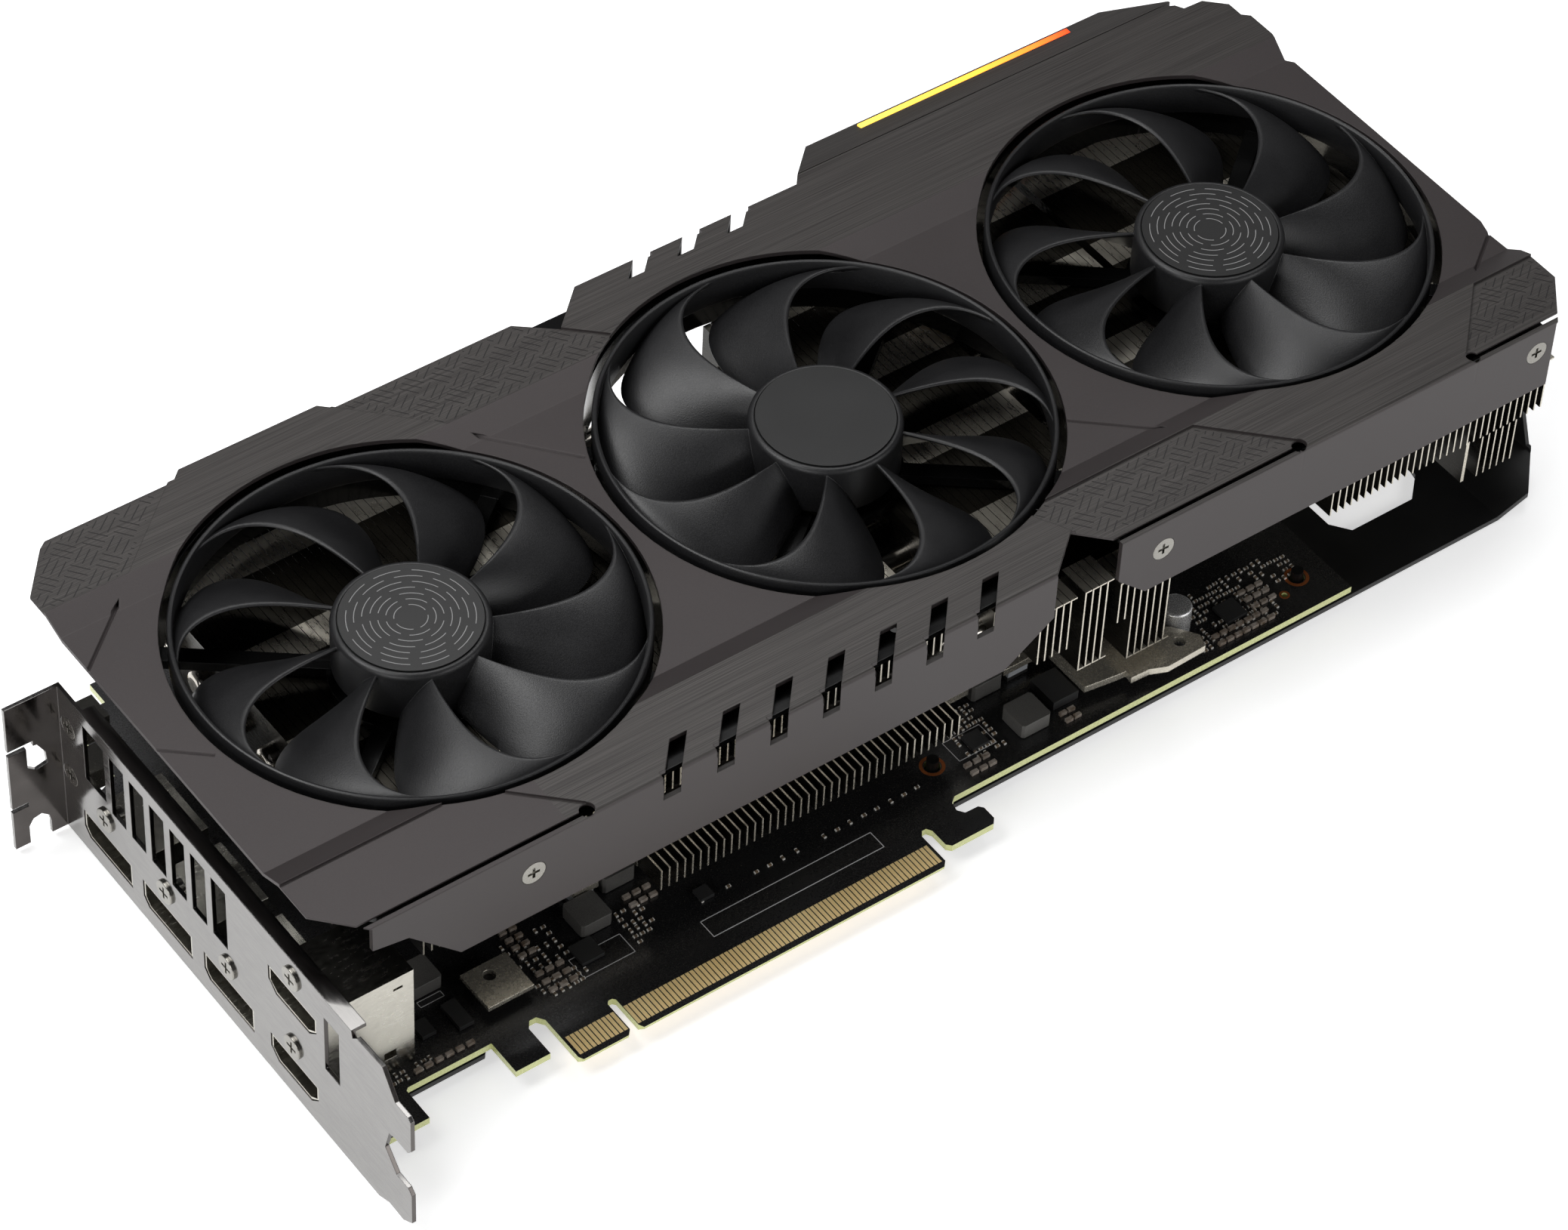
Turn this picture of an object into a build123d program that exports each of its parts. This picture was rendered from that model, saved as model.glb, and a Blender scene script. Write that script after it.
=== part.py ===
from build123d import *
from math import cos, radians, sin, sqrt, tan
import os

# Triple-fan graphics card, millimetres. While it is drawn, X = 0 is the outer face of the slot
# bracket and +X runs to the tail, Y = 0 is the tip of the edge contacts and +Y runs to the far edge,
# Z = 0 is the top face of the circuit board and +Z points out of the fans. When a sub-part is saved
# it is moved so that the origin is the middle of the underside of the card's own bounding box.

os.makedirs("parts", exist_ok=True)

# ---- driving dimensions ----
CARD_LENGTH = 299.9           # bracket face to tail
CARD_THICKNESS = 51.7         # backplate to the shroud's outer bands
SHROUD_TOP = 46.5             # outer bands of the shroud above the board
BAND_DROP = 2.0               # the middle band lies this much lower
SHEET = 1.0                   # shroud sheet thickness
NEAR_FOLD_Y = 14.9
FAR_FOLD_Y = 131.3
LABEL_REACH_Y = 141.3         # outer edge of the slanted label housing
BRACKET_TOP_Y = 106.53
BRACKET_HEIGHT = 120.02
BRACKET_WIDTH = 38.7
BRACKET_LOW_Z = -4.2
BRACKET_SHEET = 0.86
FLANGE_DEPTH = 11.43
SLOT_PITCH = 20.32
BOARD_THICK = 1.6
BOARD_END_X = 243.0
BOARD_NEAR_Y = 12.4
BOARD_FAR_Y = 125.5
KEY_X = 58.65                 # middle of the key notch in the edge connector
FAN_X = (58.4, 154.6, 250.8)
FAN_Y = 74.3
RING_R = 45.4                 # outer radius of the ring round the blade tips
HUB_R = 15.25
CAP_R = 13.75
BLADES = 9
FAN_TOP = 46.1
GPU_X = 118.0
GPU_Y = 68.0

BASE_Z = SHROUD_TOP - CARD_THICKNESS
FLANGE_OUT_X = -FLANGE_DEPTH
MIDDLE_TOP = SHROUD_TOP - BAND_DROP
TONGUE_Y = BRACKET_TOP_Y - BRACKET_HEIGHT
MID_X = (FLANGE_OUT_X + CARD_LENGTH) / 2
MID_Y = (TONGUE_Y + LABEL_REACH_Y) / 2
TO_ORIGIN = Pos(-MID_X, -MID_Y, -BASE_Z)


# ---- small makers ----
def block(x0, x1, y0, y1, z0, z1):
    """A plain block between two corners."""
    return Pos((x0 + x1) / 2, (y0 + y1) / 2, (z0 + z1) / 2) * Box(x1 - x0, y1 - y0, z1 - z0)


def disc(x, y, z0, z1, radius):
    """An upright round disc or pin."""
    return Pos(x, y, (z0 + z1) / 2) * Cylinder(radius, z1 - z0)


def ring(x, y, z0, z1, outer, inner):
    """An upright tube."""
    return disc(x, y, z0, z1, outer) - disc(x, y, z0 - 1, z1 + 1, inner)


def slab(points, z0, z1):
    """A flat plate from its outline seen from above."""
    return Pos(0, 0, z0) * extrude(make_face(Polyline(*points, close=True)), z1 - z0)


def along_x(points, x0, x1):
    """A bar along X from its outline in Y and Z."""
    face = make_face(Polyline(*[(x0, y, z) for y, z in points], close=True))
    return extrude(face, x1 - x0, dir=(1, 0, 0))


def along_y(points, y0, y1):
    """A bar along Y from its outline in X and Z."""
    face = make_face(Polyline(*[(x, y0, z) for x, z in points], close=True))
    return extrude(face, y1 - y0, dir=(0, 1, 0))


def pin_y(x, z, y0, y1, radius):
    """A round pin along Y."""
    return Pos(x, (y0 + y1) / 2, z) * Rot(90, 0, 0) * Cylinder(radius, y1 - y0)


def pin_x(y, z, x0, x1, radius):
    """A round pin along X."""
    return Pos((x0 + x1) / 2, y, z) * Rot(0, 90, 0) * Cylinder(radius, x1 - x0)


def group(shapes):
    """Several separate solids kept in one sub-part."""
    return Compound([solid for shape in shapes for solid in shape.solids()])


def save(name, shape):
    """Moves one finished sub-part to the card's origin and writes its file."""
    moved = [TO_ORIGIN * solid for solid in shape.solids()]
    export_step(moved[0] if len(moved) == 1 else Compound(moved), f"parts/{name}.step")


# ---- shroud: one folded sheet with three fan openings ----
SLOT_STEP = 12.05
PATCH_DEPTH = 0.6
PATCH_TOP = SHROUD_TOP - PATCH_DEPTH
NEAR_RAMP = (32.4, 37.6)
FAR_RAMP = (107.4, 113.0)
OPENING_R = 47.0
WALL_GAP = 1.0
PLATE_NEAR_Y = NEAR_FOLD_Y + SHEET
WALL_LOW_Z = 26.8

OUTLINE = [
    (10.9, 10), (10.9, 14.6), (2.6, 23.6), (2.6, 118.4), (10.6, 128.2), (12.4, 129.5),
    (41.0, 129.5), (43.0, FAR_FOLD_Y), (74.3, FAR_FOLD_Y), (76.2, 129.5), (118.4, 129.5),
    (126.0, 123.2), (134.8, FAR_FOLD_Y), (189.3, FAR_FOLD_Y), (191.2, 133.6), (286.0, 133.6),
    (288.6, 132.4), (289.6, 130.6), (294.3, 130.4), (298.4, 126.4), (298.4, 122.4),
    (CARD_LENGTH, 121.0), (CARD_LENGTH, 114.0), (298.3, 107.6), (299.6, 106.0), (299.6, 47.0),
    (298.4, 43.0), (298.6, 37.8), (CARD_LENGTH, 35.2), (CARD_LENGTH, 25.0), (291.5, 14.6),
    (291.5, 10), (181.0, 10), (181.0, 16.2), (174.6, 22.8), (165.4, 15.2), (165.4, 10),
]
PATCHES = [
    [(0, 113.2), (20.8, 113.2), (42.4, 132), (0, 132)],
    [(76.0, 132), (76.0, 130.1), (92.4, 113.2), (129.4, 113.2), (133.2, 116.4), (126, 123.2), (118.4, 132)],
    [(170.5, 32.3), (171.0, 30.0), (175.2, 22.2), (181, 14), (224, 14), (227.2, 17.2), (212.2, 32.3)],
    [(270.2, 18.0), (284.6, 32.3), (301, 32.3), (301, 12), (270.2, 12)],
    [(0, 32.3), (0, 12), (57.0, 12), (59.0, 18.0), (51.0, 25.8), (44.4, 32.3)],
]
CREASES = [
    [(2.0, 97.2), (20.8, 113.2)], [(92.4, 113.2), (97.5, 107.4), (110.2, 92.6)],
    [(2.0, 74.2), (10.4, 66.8)], [(193.0, 49.2), (206.2, 37.6), (212.2, 32.3)],
    [(284.6, 32.3), (290.0, 37.2), (299.0, 43.6)],
]
NEAR_WALL_LEFT = [(10.9, 50), (10.9, 39.6), (18.6, 38.2), (29.8, WALL_LOW_Z), (154.0, WALL_LOW_Z),
                  (165.4, 34.8), (165.4, 50)]
NEAR_WALL_RIGHT = [(181.0, 50), (181.0, 35.6), (188.2, 28.8), (291.5, 28.8), (291.5, 50)]
FAR_WALL_LEFT = [(43.0, 50), (43.0, 36.0), (48.0, 31.0), (70.0, 31.0), (74.3, 36.0), (74.3, 50)]
FAR_WALL_RIGHT = [(134.8, 50), (134.8, 36.0), (140.0, 29.0), (184.0, 29.0), (189.3, 35.0), (189.3, 50)]
SIDE_SCREWS = [(45.6, 38.3), (191.8, 38.4), (287.2, 39.6)]
FAR_SCREWS = [(58.6, 38.3), (162.0, 38.3)]


SCREW_R = 1.25


def opening(index, z0, z1):
    """The cutter for one fan opening in the shroud."""
    return disc(FAN_X[index], FAN_Y, z0, z1, OPENING_R)


def crease_cutter(points):
    """A shallow V-shaped groove along a line on the shroud."""
    cutters = []
    for (xa, ya), (xb, yb) in zip(points, points[1:]):
        length = sqrt((xb - xa) ** 2 + (yb - ya) ** 2)
        angle = Vector(xb - xa, yb - ya, 0).get_signed_angle(Vector(1, 0, 0), Vector(0, 0, -1))
        bar = Rot(45, 0, 0) * Box(length + 0.6, 0.8, 0.8)
        cutters.append(Pos((xa + xb) / 2, (ya + yb) / 2, MIDDLE_TOP + 0.15) * Rot(0, 0, angle) * bar)
    return cutters


def slanted_slot(x, y0, y1, width, lean, z0, z1):
    """A leaning slot: x is its near left corner."""
    return slab([(x, y0), (x + width, y0), (x + width + lean, y1), (x + lean, y1)], z0, z1)


def countersink(x, y, z, outward):
    """The clearance cone for a flat-head screw whose head is flush with a wall."""
    cone = Cone(1.35, 2.75, 1.4)
    turn = Rot(-90, 0, 0) if outward > 0 else Rot(90, 0, 0)
    return Pos(x, y - outward * 0.65, z) * turn * cone


def make_shroud():
    outer = [(NEAR_FOLD_Y, WALL_LOW_Z), (NEAR_FOLD_Y, SHROUD_TOP), (NEAR_RAMP[0], SHROUD_TOP),
             (NEAR_RAMP[1], MIDDLE_TOP), (FAR_RAMP[0], MIDDLE_TOP), (FAR_RAMP[1], SHROUD_TOP),
             (FAR_FOLD_Y, SHROUD_TOP), (FAR_FOLD_Y, WALL_LOW_Z)]
    inner = [(FAR_FOLD_Y - SHEET, WALL_LOW_Z), (FAR_FOLD_Y - SHEET, SHROUD_TOP - SHEET),
             (FAR_RAMP[1] - 0.3, SHROUD_TOP - SHEET), (FAR_RAMP[0] - 0.3, MIDDLE_TOP - SHEET),
             (NEAR_RAMP[1] + 0.3, MIDDLE_TOP - SHEET), (NEAR_RAMP[0] + 0.3, SHROUD_TOP - SHEET),
             (PLATE_NEAR_Y, SHROUD_TOP - SHEET), (PLATE_NEAR_Y, WALL_LOW_Z)]
    body = along_x(outer + inner, 0, CARD_LENGTH)
    fold_edges = [e for e in body.edges().filter_by(Axis.X)
                  if e.center().Z > 40 and abs(e.center().Y - NEAR_FOLD_Y) < 0.01]
    body = fillet(fold_edges, 0.9)
    body += block(189, CARD_LENGTH, FAR_FOLD_Y - 0.5, 135, SHROUD_TOP - SHEET, SHROUD_TOP)
    body &= slab(OUTLINE, 0, 60)
    below = SHROUD_TOP - SHEET
    near_cut = block(-5, 305, NEAR_FOLD_Y - 1, PLATE_NEAR_Y, 0, below)
    near_cut -= along_y(NEAR_WALL_LEFT, 0, 20)
    near_cut -= along_y(NEAR_WALL_RIGHT, 0, 20)
    far_cut = block(-5, 305, FAR_FOLD_Y - SHEET, FAR_FOLD_Y + 1, 0, below)
    far_cut -= along_y(FAR_WALL_LEFT, 120, 140)
    far_cut -= along_y(FAR_WALL_RIGHT, 120, 140)
    cutters = [near_cut, far_cut]
    cutters += [opening(i, 40, 50) for i in range(3)]
    cutters += [slab(patch, PATCH_TOP, 50) for patch in PATCHES]
    for x0, x1 in ((0, 57.6), (180, 225.0), (271.2, 293.4)):
        cutters.append(block(x0, x1, PLATE_NEAR_Y, PLATE_NEAR_Y + WALL_GAP, 40, 50))
    for x in (58.2, 226.0, 270.6):
        cutters.append(disc(x, PLATE_NEAR_Y + 0.6, 40, 50, 1.5))
    for i in range(7):
        x = 74.0 + i * SLOT_STEP
        cutters.append(slanted_slot(x, NEAR_FOLD_Y - 0.2, 22.0, 3.9, 6.4, 40, 50))
        cutters.append(block(x, x + 3.9, NEAR_FOLD_Y - 1, PLATE_NEAR_Y + 0.4, 44.3, 50))
    for i in range(3):
        x = 144.8 + i * SLOT_STEP
        cutters.append(slanted_slot(x, 127.2, FAR_FOLD_Y + 0.2, 4.0, 4.3, 40, 50))
        cutters.append(block(x + 4.3, x + 8.3, FAR_FOLD_Y - SHEET, FAR_FOLD_Y + 1, 45.2, 50))
    for line in CREASES:
        cutters += crease_cutter(line)
    for x, z in SIDE_SCREWS:
        cutters.append(countersink(x, NEAR_FOLD_Y, z, -1))
    for x, z in FAR_SCREWS:
        cutters.append(countersink(x, FAR_FOLD_Y, z, 1))
    return body - cutters


save("shroud", make_shroud())


def flat_screw(x, y, z, outward):
    """A cross-head screw whose cone head lies flush in a side wall."""
    head = Cone(1.25, 2.6, 1.3)
    shaft = Pos(0, 0, -1.9) * Cylinder(SCREW_R, 3.0)
    cross = Pos(0, 0, 0.5) * (Box(2.6, 0.6, 0.7) + Box(0.6, 2.6, 0.7))
    turn = Rot(-90, 0, 0) if outward > 0 else Rot(90, 0, 0)
    return Pos(x, y - outward * 0.66, z) * turn * ((head + shaft) - cross)


side_screws = [flat_screw(x, NEAR_FOLD_Y, z, -1) for x, z in SIDE_SCREWS]
side_screws += [flat_screw(x, FAR_FOLD_Y, z, 1) for x, z in FAR_SCREWS]
save("side_screws", group(side_screws))


# ---- label housing and its light bar, at the far edge ----
LABEL_LEFT = 191.4
LABEL_RIGHT = 288.4
LABEL_NEAR_Y = 133.8
LABEL_DROP = 2.0
BAR_X = (211.5, 266.0)


def make_label_housing():
    top_outline = [(LABEL_LEFT, LABEL_NEAR_Y), (199.0, LABEL_REACH_Y), (275.4, LABEL_REACH_Y),
                   (LABEL_RIGHT, 134.4), (LABEL_RIGHT, LABEL_NEAR_Y)]
    slope_top = SHROUD_TOP - LABEL_DROP
    section = [(LABEL_NEAR_Y, SHROUD_TOP), (LABEL_REACH_Y, slope_top), (LABEL_REACH_Y - 1.2, 33.0),
               (LABEL_REACH_Y - 2.7, 33.0), (LABEL_REACH_Y - 1.6, slope_top - 1.2),
               (LABEL_NEAR_Y, SHROUD_TOP - 2.0)]
    body = along_x(section, LABEL_LEFT, LABEL_RIGHT)
    tail_wall = along_x([(LABEL_NEAR_Y, SHROUD_TOP), (LABEL_REACH_Y, slope_top),
                         (LABEL_REACH_Y - 1.2, 33.0), (LABEL_NEAR_Y, 33.0)], LABEL_LEFT, LABEL_RIGHT)
    hollow = [(194.2, LABEL_NEAR_Y - 1), (194.2, 134.4), (200.0, 139.6), (274.6, 139.6),
              (285.6, 134.0), (285.6, LABEL_NEAR_Y - 1)]
    ends = (tail_wall & slab(top_outline, 20, 60)) - slab(hollow, 20, 60)
    body = (body & slab(top_outline, 20, 60)) + ends
    groove = block(BAR_X[0] - 0.1, BAR_X[1] + 0.1, 139.0, 140.5, 41, 60)
    return body - groove


save("label_housing", make_label_housing())
bar_top = SHROUD_TOP - LABEL_DROP * (139.75 - LABEL_NEAR_Y) / (LABEL_REACH_Y - LABEL_NEAR_Y)
save("light_bar", block(BAR_X[0], BAR_X[1], 139.1, 140.4, 42.4, bar_top + 0.2))
save("light_board", block(206.0, 271.0, 135.2, 138.4, 39.6, 40.6))


# ---- fan frame: the black plastic duct that carries the three motors ----
DUCT_TOP = MIDDLE_TOP - SHEET - 0.1
DUCT_LOW = DUCT_TOP - 1.2
DUCT_R = 47.2
LIP_LOW = 31.0
MOTOR_Z = 30.6
STRUT_ANGLES = (38, 142, 218, 322)


def make_fan_frame():
    outline = [(6, 26), (14, 18.2), (163.4, 18.2), (163.4, 26), (183.0, 26), (183.0, 18.2), (290, 18.2),
               (296, 26), (296, 122), (290, 129.0), (44, 129.0), (12, 127.6), (6, 120)]
    body = slab(outline, DUCT_LOW, DUCT_TOP)
    lips, holes, motor_parts = [], [], []
    for x in FAN_X:
        lips.append(disc(x, FAN_Y, LIP_LOW, DUCT_TOP, DUCT_R + 0.9))
        holes.append(disc(x, FAN_Y, 0, 60, DUCT_R))
        motor_parts.append(disc(x, FAN_Y, MOTOR_Z, MOTOR_Z + 1.6, 16.0))
        motor_parts.append(disc(x, FAN_Y, MOTOR_Z, 42.0, 3.9))
        for angle in STRUT_ANGLES:
            turn = Pos(x, FAN_Y, 0) * Rot(0, 0, angle)
            motor_parts.append(turn * block(14.0, 51.4, -1.8, 1.8, MOTOR_Z, MOTOR_Z + 2.2))
            motor_parts.append(turn * block(48.4, 51.4, -2.6, 2.6, MOTOR_Z, DUCT_LOW + 0.4))
    body = (body + lips) - holes
    body = body + motor_parts
    for x, z in SIDE_SCREWS:
        body += block(x - 3.4, x + 3.4, 16.4, 18.6, z - 3, DUCT_TOP) - pin_y(x, z, 10, 30, SCREW_R + 0.05)
    for x, z in FAR_SCREWS:
        body += block(x - 3.4, x + 3.4, 127.6, 129.8, z - 3, DUCT_TOP) - pin_y(x, z, 120, 140, SCREW_R + 0.05)
    bores = [disc(x, FAN_Y, MOTOR_Z + 1.0, 60, 3.1) for x in FAN_X]
    vents = [disc(x + 40 * cos(radians(a)), FAN_Y + 60 * sin(radians(a)), 40, 50, 1.2)
             for x in FAN_X for a in (58, 122, 238, 302)]
    body = body - bores - vents
    joints = [0, (FAN_X[0] + FAN_X[1]) / 2, (FAN_X[1] + FAN_X[2]) / 2, CARD_LENGTH]
    return group([body & block(x0 + 0.04, x1 - 0.04, 10, 135, 20, 60) for x0, x1 in zip(joints, joints[1:])])


save("fan_frame", make_fan_frame())


# ---- fans: hub, swept blades and tip ring in one moulding ----
def blade_section(radius, top_angle, low_angle, top_z, low_z, thick):
    """One flat cut of a blade across its span: a thin cambered strip with eight corners."""
    middle = radians((top_angle + low_angle) / 2)
    half_turn = (top_angle - low_angle) / 2
    distance = radius * cos(radians(half_turn))
    reach = 2 * distance * tan(radians(half_turn))
    chord = sqrt(reach ** 2 + (top_z - low_z) ** 2)
    points = []
    for side, shares in ((1, (0, 0.3, 0.7, 1)), (-1, (1, 0.7, 0.3, 0))):
        for share in shares:
            bow = BLADE_CAMBER * share * (1 - share)
            half = side * thick * (0.5 if 0 < share < 1 else 0.3)
            across = reach * (0.5 - share) + (half + 4 * bow) * (low_z - top_z) / chord
            z = top_z + (low_z - top_z) * share + (half + 4 * bow) * reach / chord
            x = distance * cos(middle) - across * sin(middle)
            y = distance * sin(middle) + across * cos(middle)
            points.append((x, y, z))
    return Wire.make_polygon(points, close=True)


BLADE_CAMBER = 1.2
BLADE_STATIONS = [
    # radius, top edge angle, lower edge angle, top height, lower height, thickness
    (14.9, 0.0, -24.0, 44.6, 35.2, 1.5),
    (22.0, 2.0, -23.0, 44.7, 35.0, 1.4),
    (30.0, 6.5, -20.0, 44.8, 35.2, 1.3),
    (37.0, 12.0, -15.5, 44.9, 35.8, 1.2),
    (42.0, 19.0, -9.5, 45.0, 36.4, 1.2),
    (46.8, 31.0, 0.5, 45.0, 37.0, 1.2),
]


def make_rotor():
    """Hub cup, nine swept blades and the ring that joins their tips, moulded as one."""
    hub = disc(0, 0, 34.6, FAN_TOP, HUB_R)
    hub = fillet(hub.edges().group_by(Axis.Z)[-1], 0.7)
    hub -= disc(0, 0, 30, 43.8, 13.9)
    hub -= disc(0, 0, FAN_TOP - 0.35, 60, CAP_R + 0.06)
    hub -= disc(0, 0, 40, 44.7, 1.02)
    rim = ring(0, 0, 38.4, FAN_TOP - 0.2, RING_R, RING_R - 1.0)
    blade = Solid.make_loft([blade_section(*station) for station in BLADE_STATIONS], ruled=True)
    blade &= disc(0, 0, 20, 60, RING_R - 0.4)
    blades = [Rot(0, 0, i * 360 / BLADES) * blade for i in range(BLADES)]
    return hub.fuse(rim, *blades)


BLADE_PHASE = (12.0, 33.8, 25.3)
rotor = make_rotor()
mirrored = mirror(rotor, about=Plane.XZ)
for number, x in enumerate(FAN_X, start=1):
    place = Pos(x, FAN_Y, 0) * Rot(0, 0, BLADE_PHASE[number - 1])
    save(f"fan_rotor_{number}", place * (mirrored if number == 2 else rotor))
    save(f"fan_cap_{number}", disc(x, FAN_Y, FAN_TOP - 0.33, FAN_TOP + 0.15, CAP_R))
    save(f"fan_magnet_{number}", ring(x, FAN_Y, 35.4, 43.4, 13.8, 12.4))
    save(f"fan_shaft_{number}", disc(x, FAN_Y, MOTOR_Z + 1.3, 44.6, 1.0))


def make_stator(x):
    """Laminated core with six coil poles round the bearing tube."""
    core = ring(x, FAN_Y, 36.0, 41.6, 6.0, 4.0)
    poles = []
    for k in range(6):
        turn = Pos(x, FAN_Y, 0) * Rot(0, 0, 60 * k)
        poles.append(turn * block(5.0, 11.6, -1.3, 1.3, 36.6, 41.0))
        poles.append(turn * block(10.2, 11.8, -3.4, 3.4, 36.6, 41.0))
    return core + poles


save("fan_stators", group([make_stator(x) for x in FAN_X]))
save("fan_motor_boards", group([ring(x, FAN_Y, 32.4, 33.4, 12.0, 4.1) for x in FAN_X]))
save("fan_bearings", group([ring(x, FAN_Y, z, z + 2.5, 3.05, 1.05) for x in FAN_X for z in (33.0, 38.6)]))


# ---- slot bracket ----
VENT_FIRST_Y = 47.2
VENT_PITCH = 7.08
DP_Y = (90.2, 69.0, 47.6)
DP_Z = 3.3
HDMI_Y = 25.2
HDMI_Z = (3.2, 22.4)
PORT_SCREWS = [(90.2, 11.6), (69.0, 11.2), (47.4, 10.8), (25.0, 29.6), (25.2, 10.2)]
CORNER_SCREWS = [(102.6, 25.8), (102.9, 12.4)]
BRACKET_TOP_Z = BRACKET_LOW_Z + BRACKET_WIDTH


def make_bracket():
    high = BRACKET_TOP_Z
    tongue_low = BRACKET_LOW_Z + 2.2
    second = tongue_low + SLOT_PITCH
    outline = [
        (BRACKET_TOP_Y, BRACKET_LOW_Z), (-2.6, BRACKET_LOW_Z), (-6.0, tongue_low - 0.6),
        (-10.6, tongue_low - 0.8), (TONGUE_Y, tongue_low + 1.2), (TONGUE_Y, tongue_low + 9.0),
        (TONGUE_Y + 1.2, tongue_low + 10.2), (-8.6, tongue_low + 10.2), (-5.0, 12.4),
        (-6.4, second - 0.6), (-8.6, second), (-12.4, second), (TONGUE_Y, second + 1.4),
        (TONGUE_Y, second + 9.4), (TONGUE_Y + 0.9, second + 10.2), (-8.6, second + 10.2),
        (-4.6, high), (3.6, high - 0.4), (5.0, high - 1.8), (5.4, high), (BRACKET_TOP_Y, high),
    ]
    plate = along_x(outline, 0, BRACKET_SHEET)
    lip = block(0, 3.2, 5.4, 98.0, high - BRACKET_SHEET, high)
    flange = block(FLANGE_OUT_X, BRACKET_SHEET, BRACKET_TOP_Y - BRACKET_SHEET, BRACKET_TOP_Y,
                   BRACKET_LOW_Z, high)
    body = plate + lip + flange
    cutters = []
    for y in DP_Y:
        half, tall = 8.6, 3.2
        hole = [(y - half, DP_Z - tall), (y + half - 1.8, DP_Z - tall), (y + half, DP_Z - tall + 1.8),
                (y + half, DP_Z + tall), (y - half, DP_Z + tall)]
        cutters.append(along_x(hole, -2, 2))
    for z in HDMI_Z:
        wide, narrow, tall = 8.0, 5.6, 3.0
        hole = [(HDMI_Y - wide, z + tall), (HDMI_Y - wide, z - 0.8), (HDMI_Y - narrow, z - tall),
                (HDMI_Y + narrow, z - tall), (HDMI_Y + wide, z - 0.8), (HDMI_Y + wide, z + tall)]
        cutters.append(along_x(hole, -2, 2))
    for i in range(6):
        y = VENT_FIRST_Y + i * VENT_PITCH
        cutters.append(block(-2, 2, y, y + 5.0, 15.7, 31.3))
    cutters.append(block(-2, 2, 89.6, 97.0, 17.0, 31.6))
    cutters.append(block(-2, 2, 9.6, 14.5, 14.6, 29.0))
    for y, z in PORT_SCREWS + CORNER_SCREWS:
        cutters.append(pin_x(y, z, -2, 2, 1.6))
    for y, z in CORNER_SCREWS:
        cutters.append(Pos(0.42, y, z) * Rot(0, -90, 0) * Cone(1.6, 2.55, 0.86))
    d_hole = [(-7.5, 22.0), (-5.2, 21.6), (-3.5, 18.6), (-3.2, 15.4), (-5.6, 14.8), (-7.5, 16.4)]
    cutters.append(along_y(d_hole, 100, 110))
    cutters.append(block(-12, -6.0, 100, 110, 21.7, 23.1))
    corner = [(-8.2, -6), (-8.2, 0.4), (-7.2, 2.0), (-5.4, 2.4), (-3.8, 1.0), (-3.4, -1.0), (-3.4, -6)]
    cutters.append(along_y(corner, 100, 110))
    cutters.append(block(-12, -7.9, 100, 110, 6.0, 7.1))
    return body - cutters


save("bracket", make_bracket())


def port_screw(y, z):
    """A thin-headed screw beside a socket: it goes in through the bracket, along +X."""
    head = Pos(-0.3, y, z) * Rot(0, 90, 0) * Cylinder(2.6, 0.6)
    head = fillet(head.edges().group_by(Axis.X)[0], 0.25)
    return (head + pin_x(y, z, -0.1, 3.4, 1.45)) - cross_slot(y, z, -0.7, -0.2)


def corner_screw(y, z):
    """A screw whose cone head lies flush in the bracket."""
    head = Pos(0.42, y, z) * Rot(0, -90, 0) * Cone(1.5, 2.4, 0.8)
    return (head + pin_x(y, z, 0.4, 3.4, 1.45)) - cross_slot(y, z, -0.2, 0.45)


def cross_slot(y, z, x0, x1):
    """The cutter for a cross recess."""
    return block(x0, x1, y - 1.5, y + 1.5, z - 0.28, z + 0.28) + block(x0, x1, y - 0.28, y + 0.28, z - 1.5, z + 1.5)


save("bracket_screws", group([port_screw(y, z) for y, z in PORT_SCREWS] + [corner_screw(y, z) for y, z in CORNER_SCREWS]))
posts = [block(0.9, 7.0, 99.0, 105.4, z - 2.6, z + 2.6) - pin_x(y, z, 0, 4, 1.5) for y, z in CORNER_SCREWS]
save("bracket_posts", group(posts))


# ---- display sockets ----
SHELL = 0.4
PORT_FRONT_X = 0.15


def make_dp(y):
    half, tall = 8.4, 3.05
    outline = [(y - half, DP_Z - tall), (y + half - 1.8, DP_Z - tall), (y + half, DP_Z - tall + 1.8),
               (y + half, DP_Z + tall), (y - half, DP_Z + tall)]
    inside = [(y - half + SHELL, DP_Z - tall + SHELL), (y + half - 1.9, DP_Z - tall + SHELL),
              (y + half - SHELL, DP_Z - tall + 1.9), (y + half - SHELL, DP_Z + tall - SHELL),
              (y - half + SHELL, DP_Z + tall - SHELL)]
    return along_x(outline, PORT_FRONT_X, 17.0) - along_x(inside, -1, 12.0)


save("displayport_shells", group([make_dp(y) for y in DP_Y]))
save("displayport_tongues", group([block(5.0, 11.95, y - 6.2, y + 6.2, DP_Z - 0.6, DP_Z + 0.6) for y in DP_Y]))


def hdmi_opening(z, wide, narrow, tall):
    return [(HDMI_Y - wide, z + tall), (HDMI_Y - wide, z - 0.8), (HDMI_Y - narrow, z - tall),
            (HDMI_Y + narrow, z - tall), (HDMI_Y + wide, z - 0.8), (HDMI_Y + wide, z + tall)]


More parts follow.
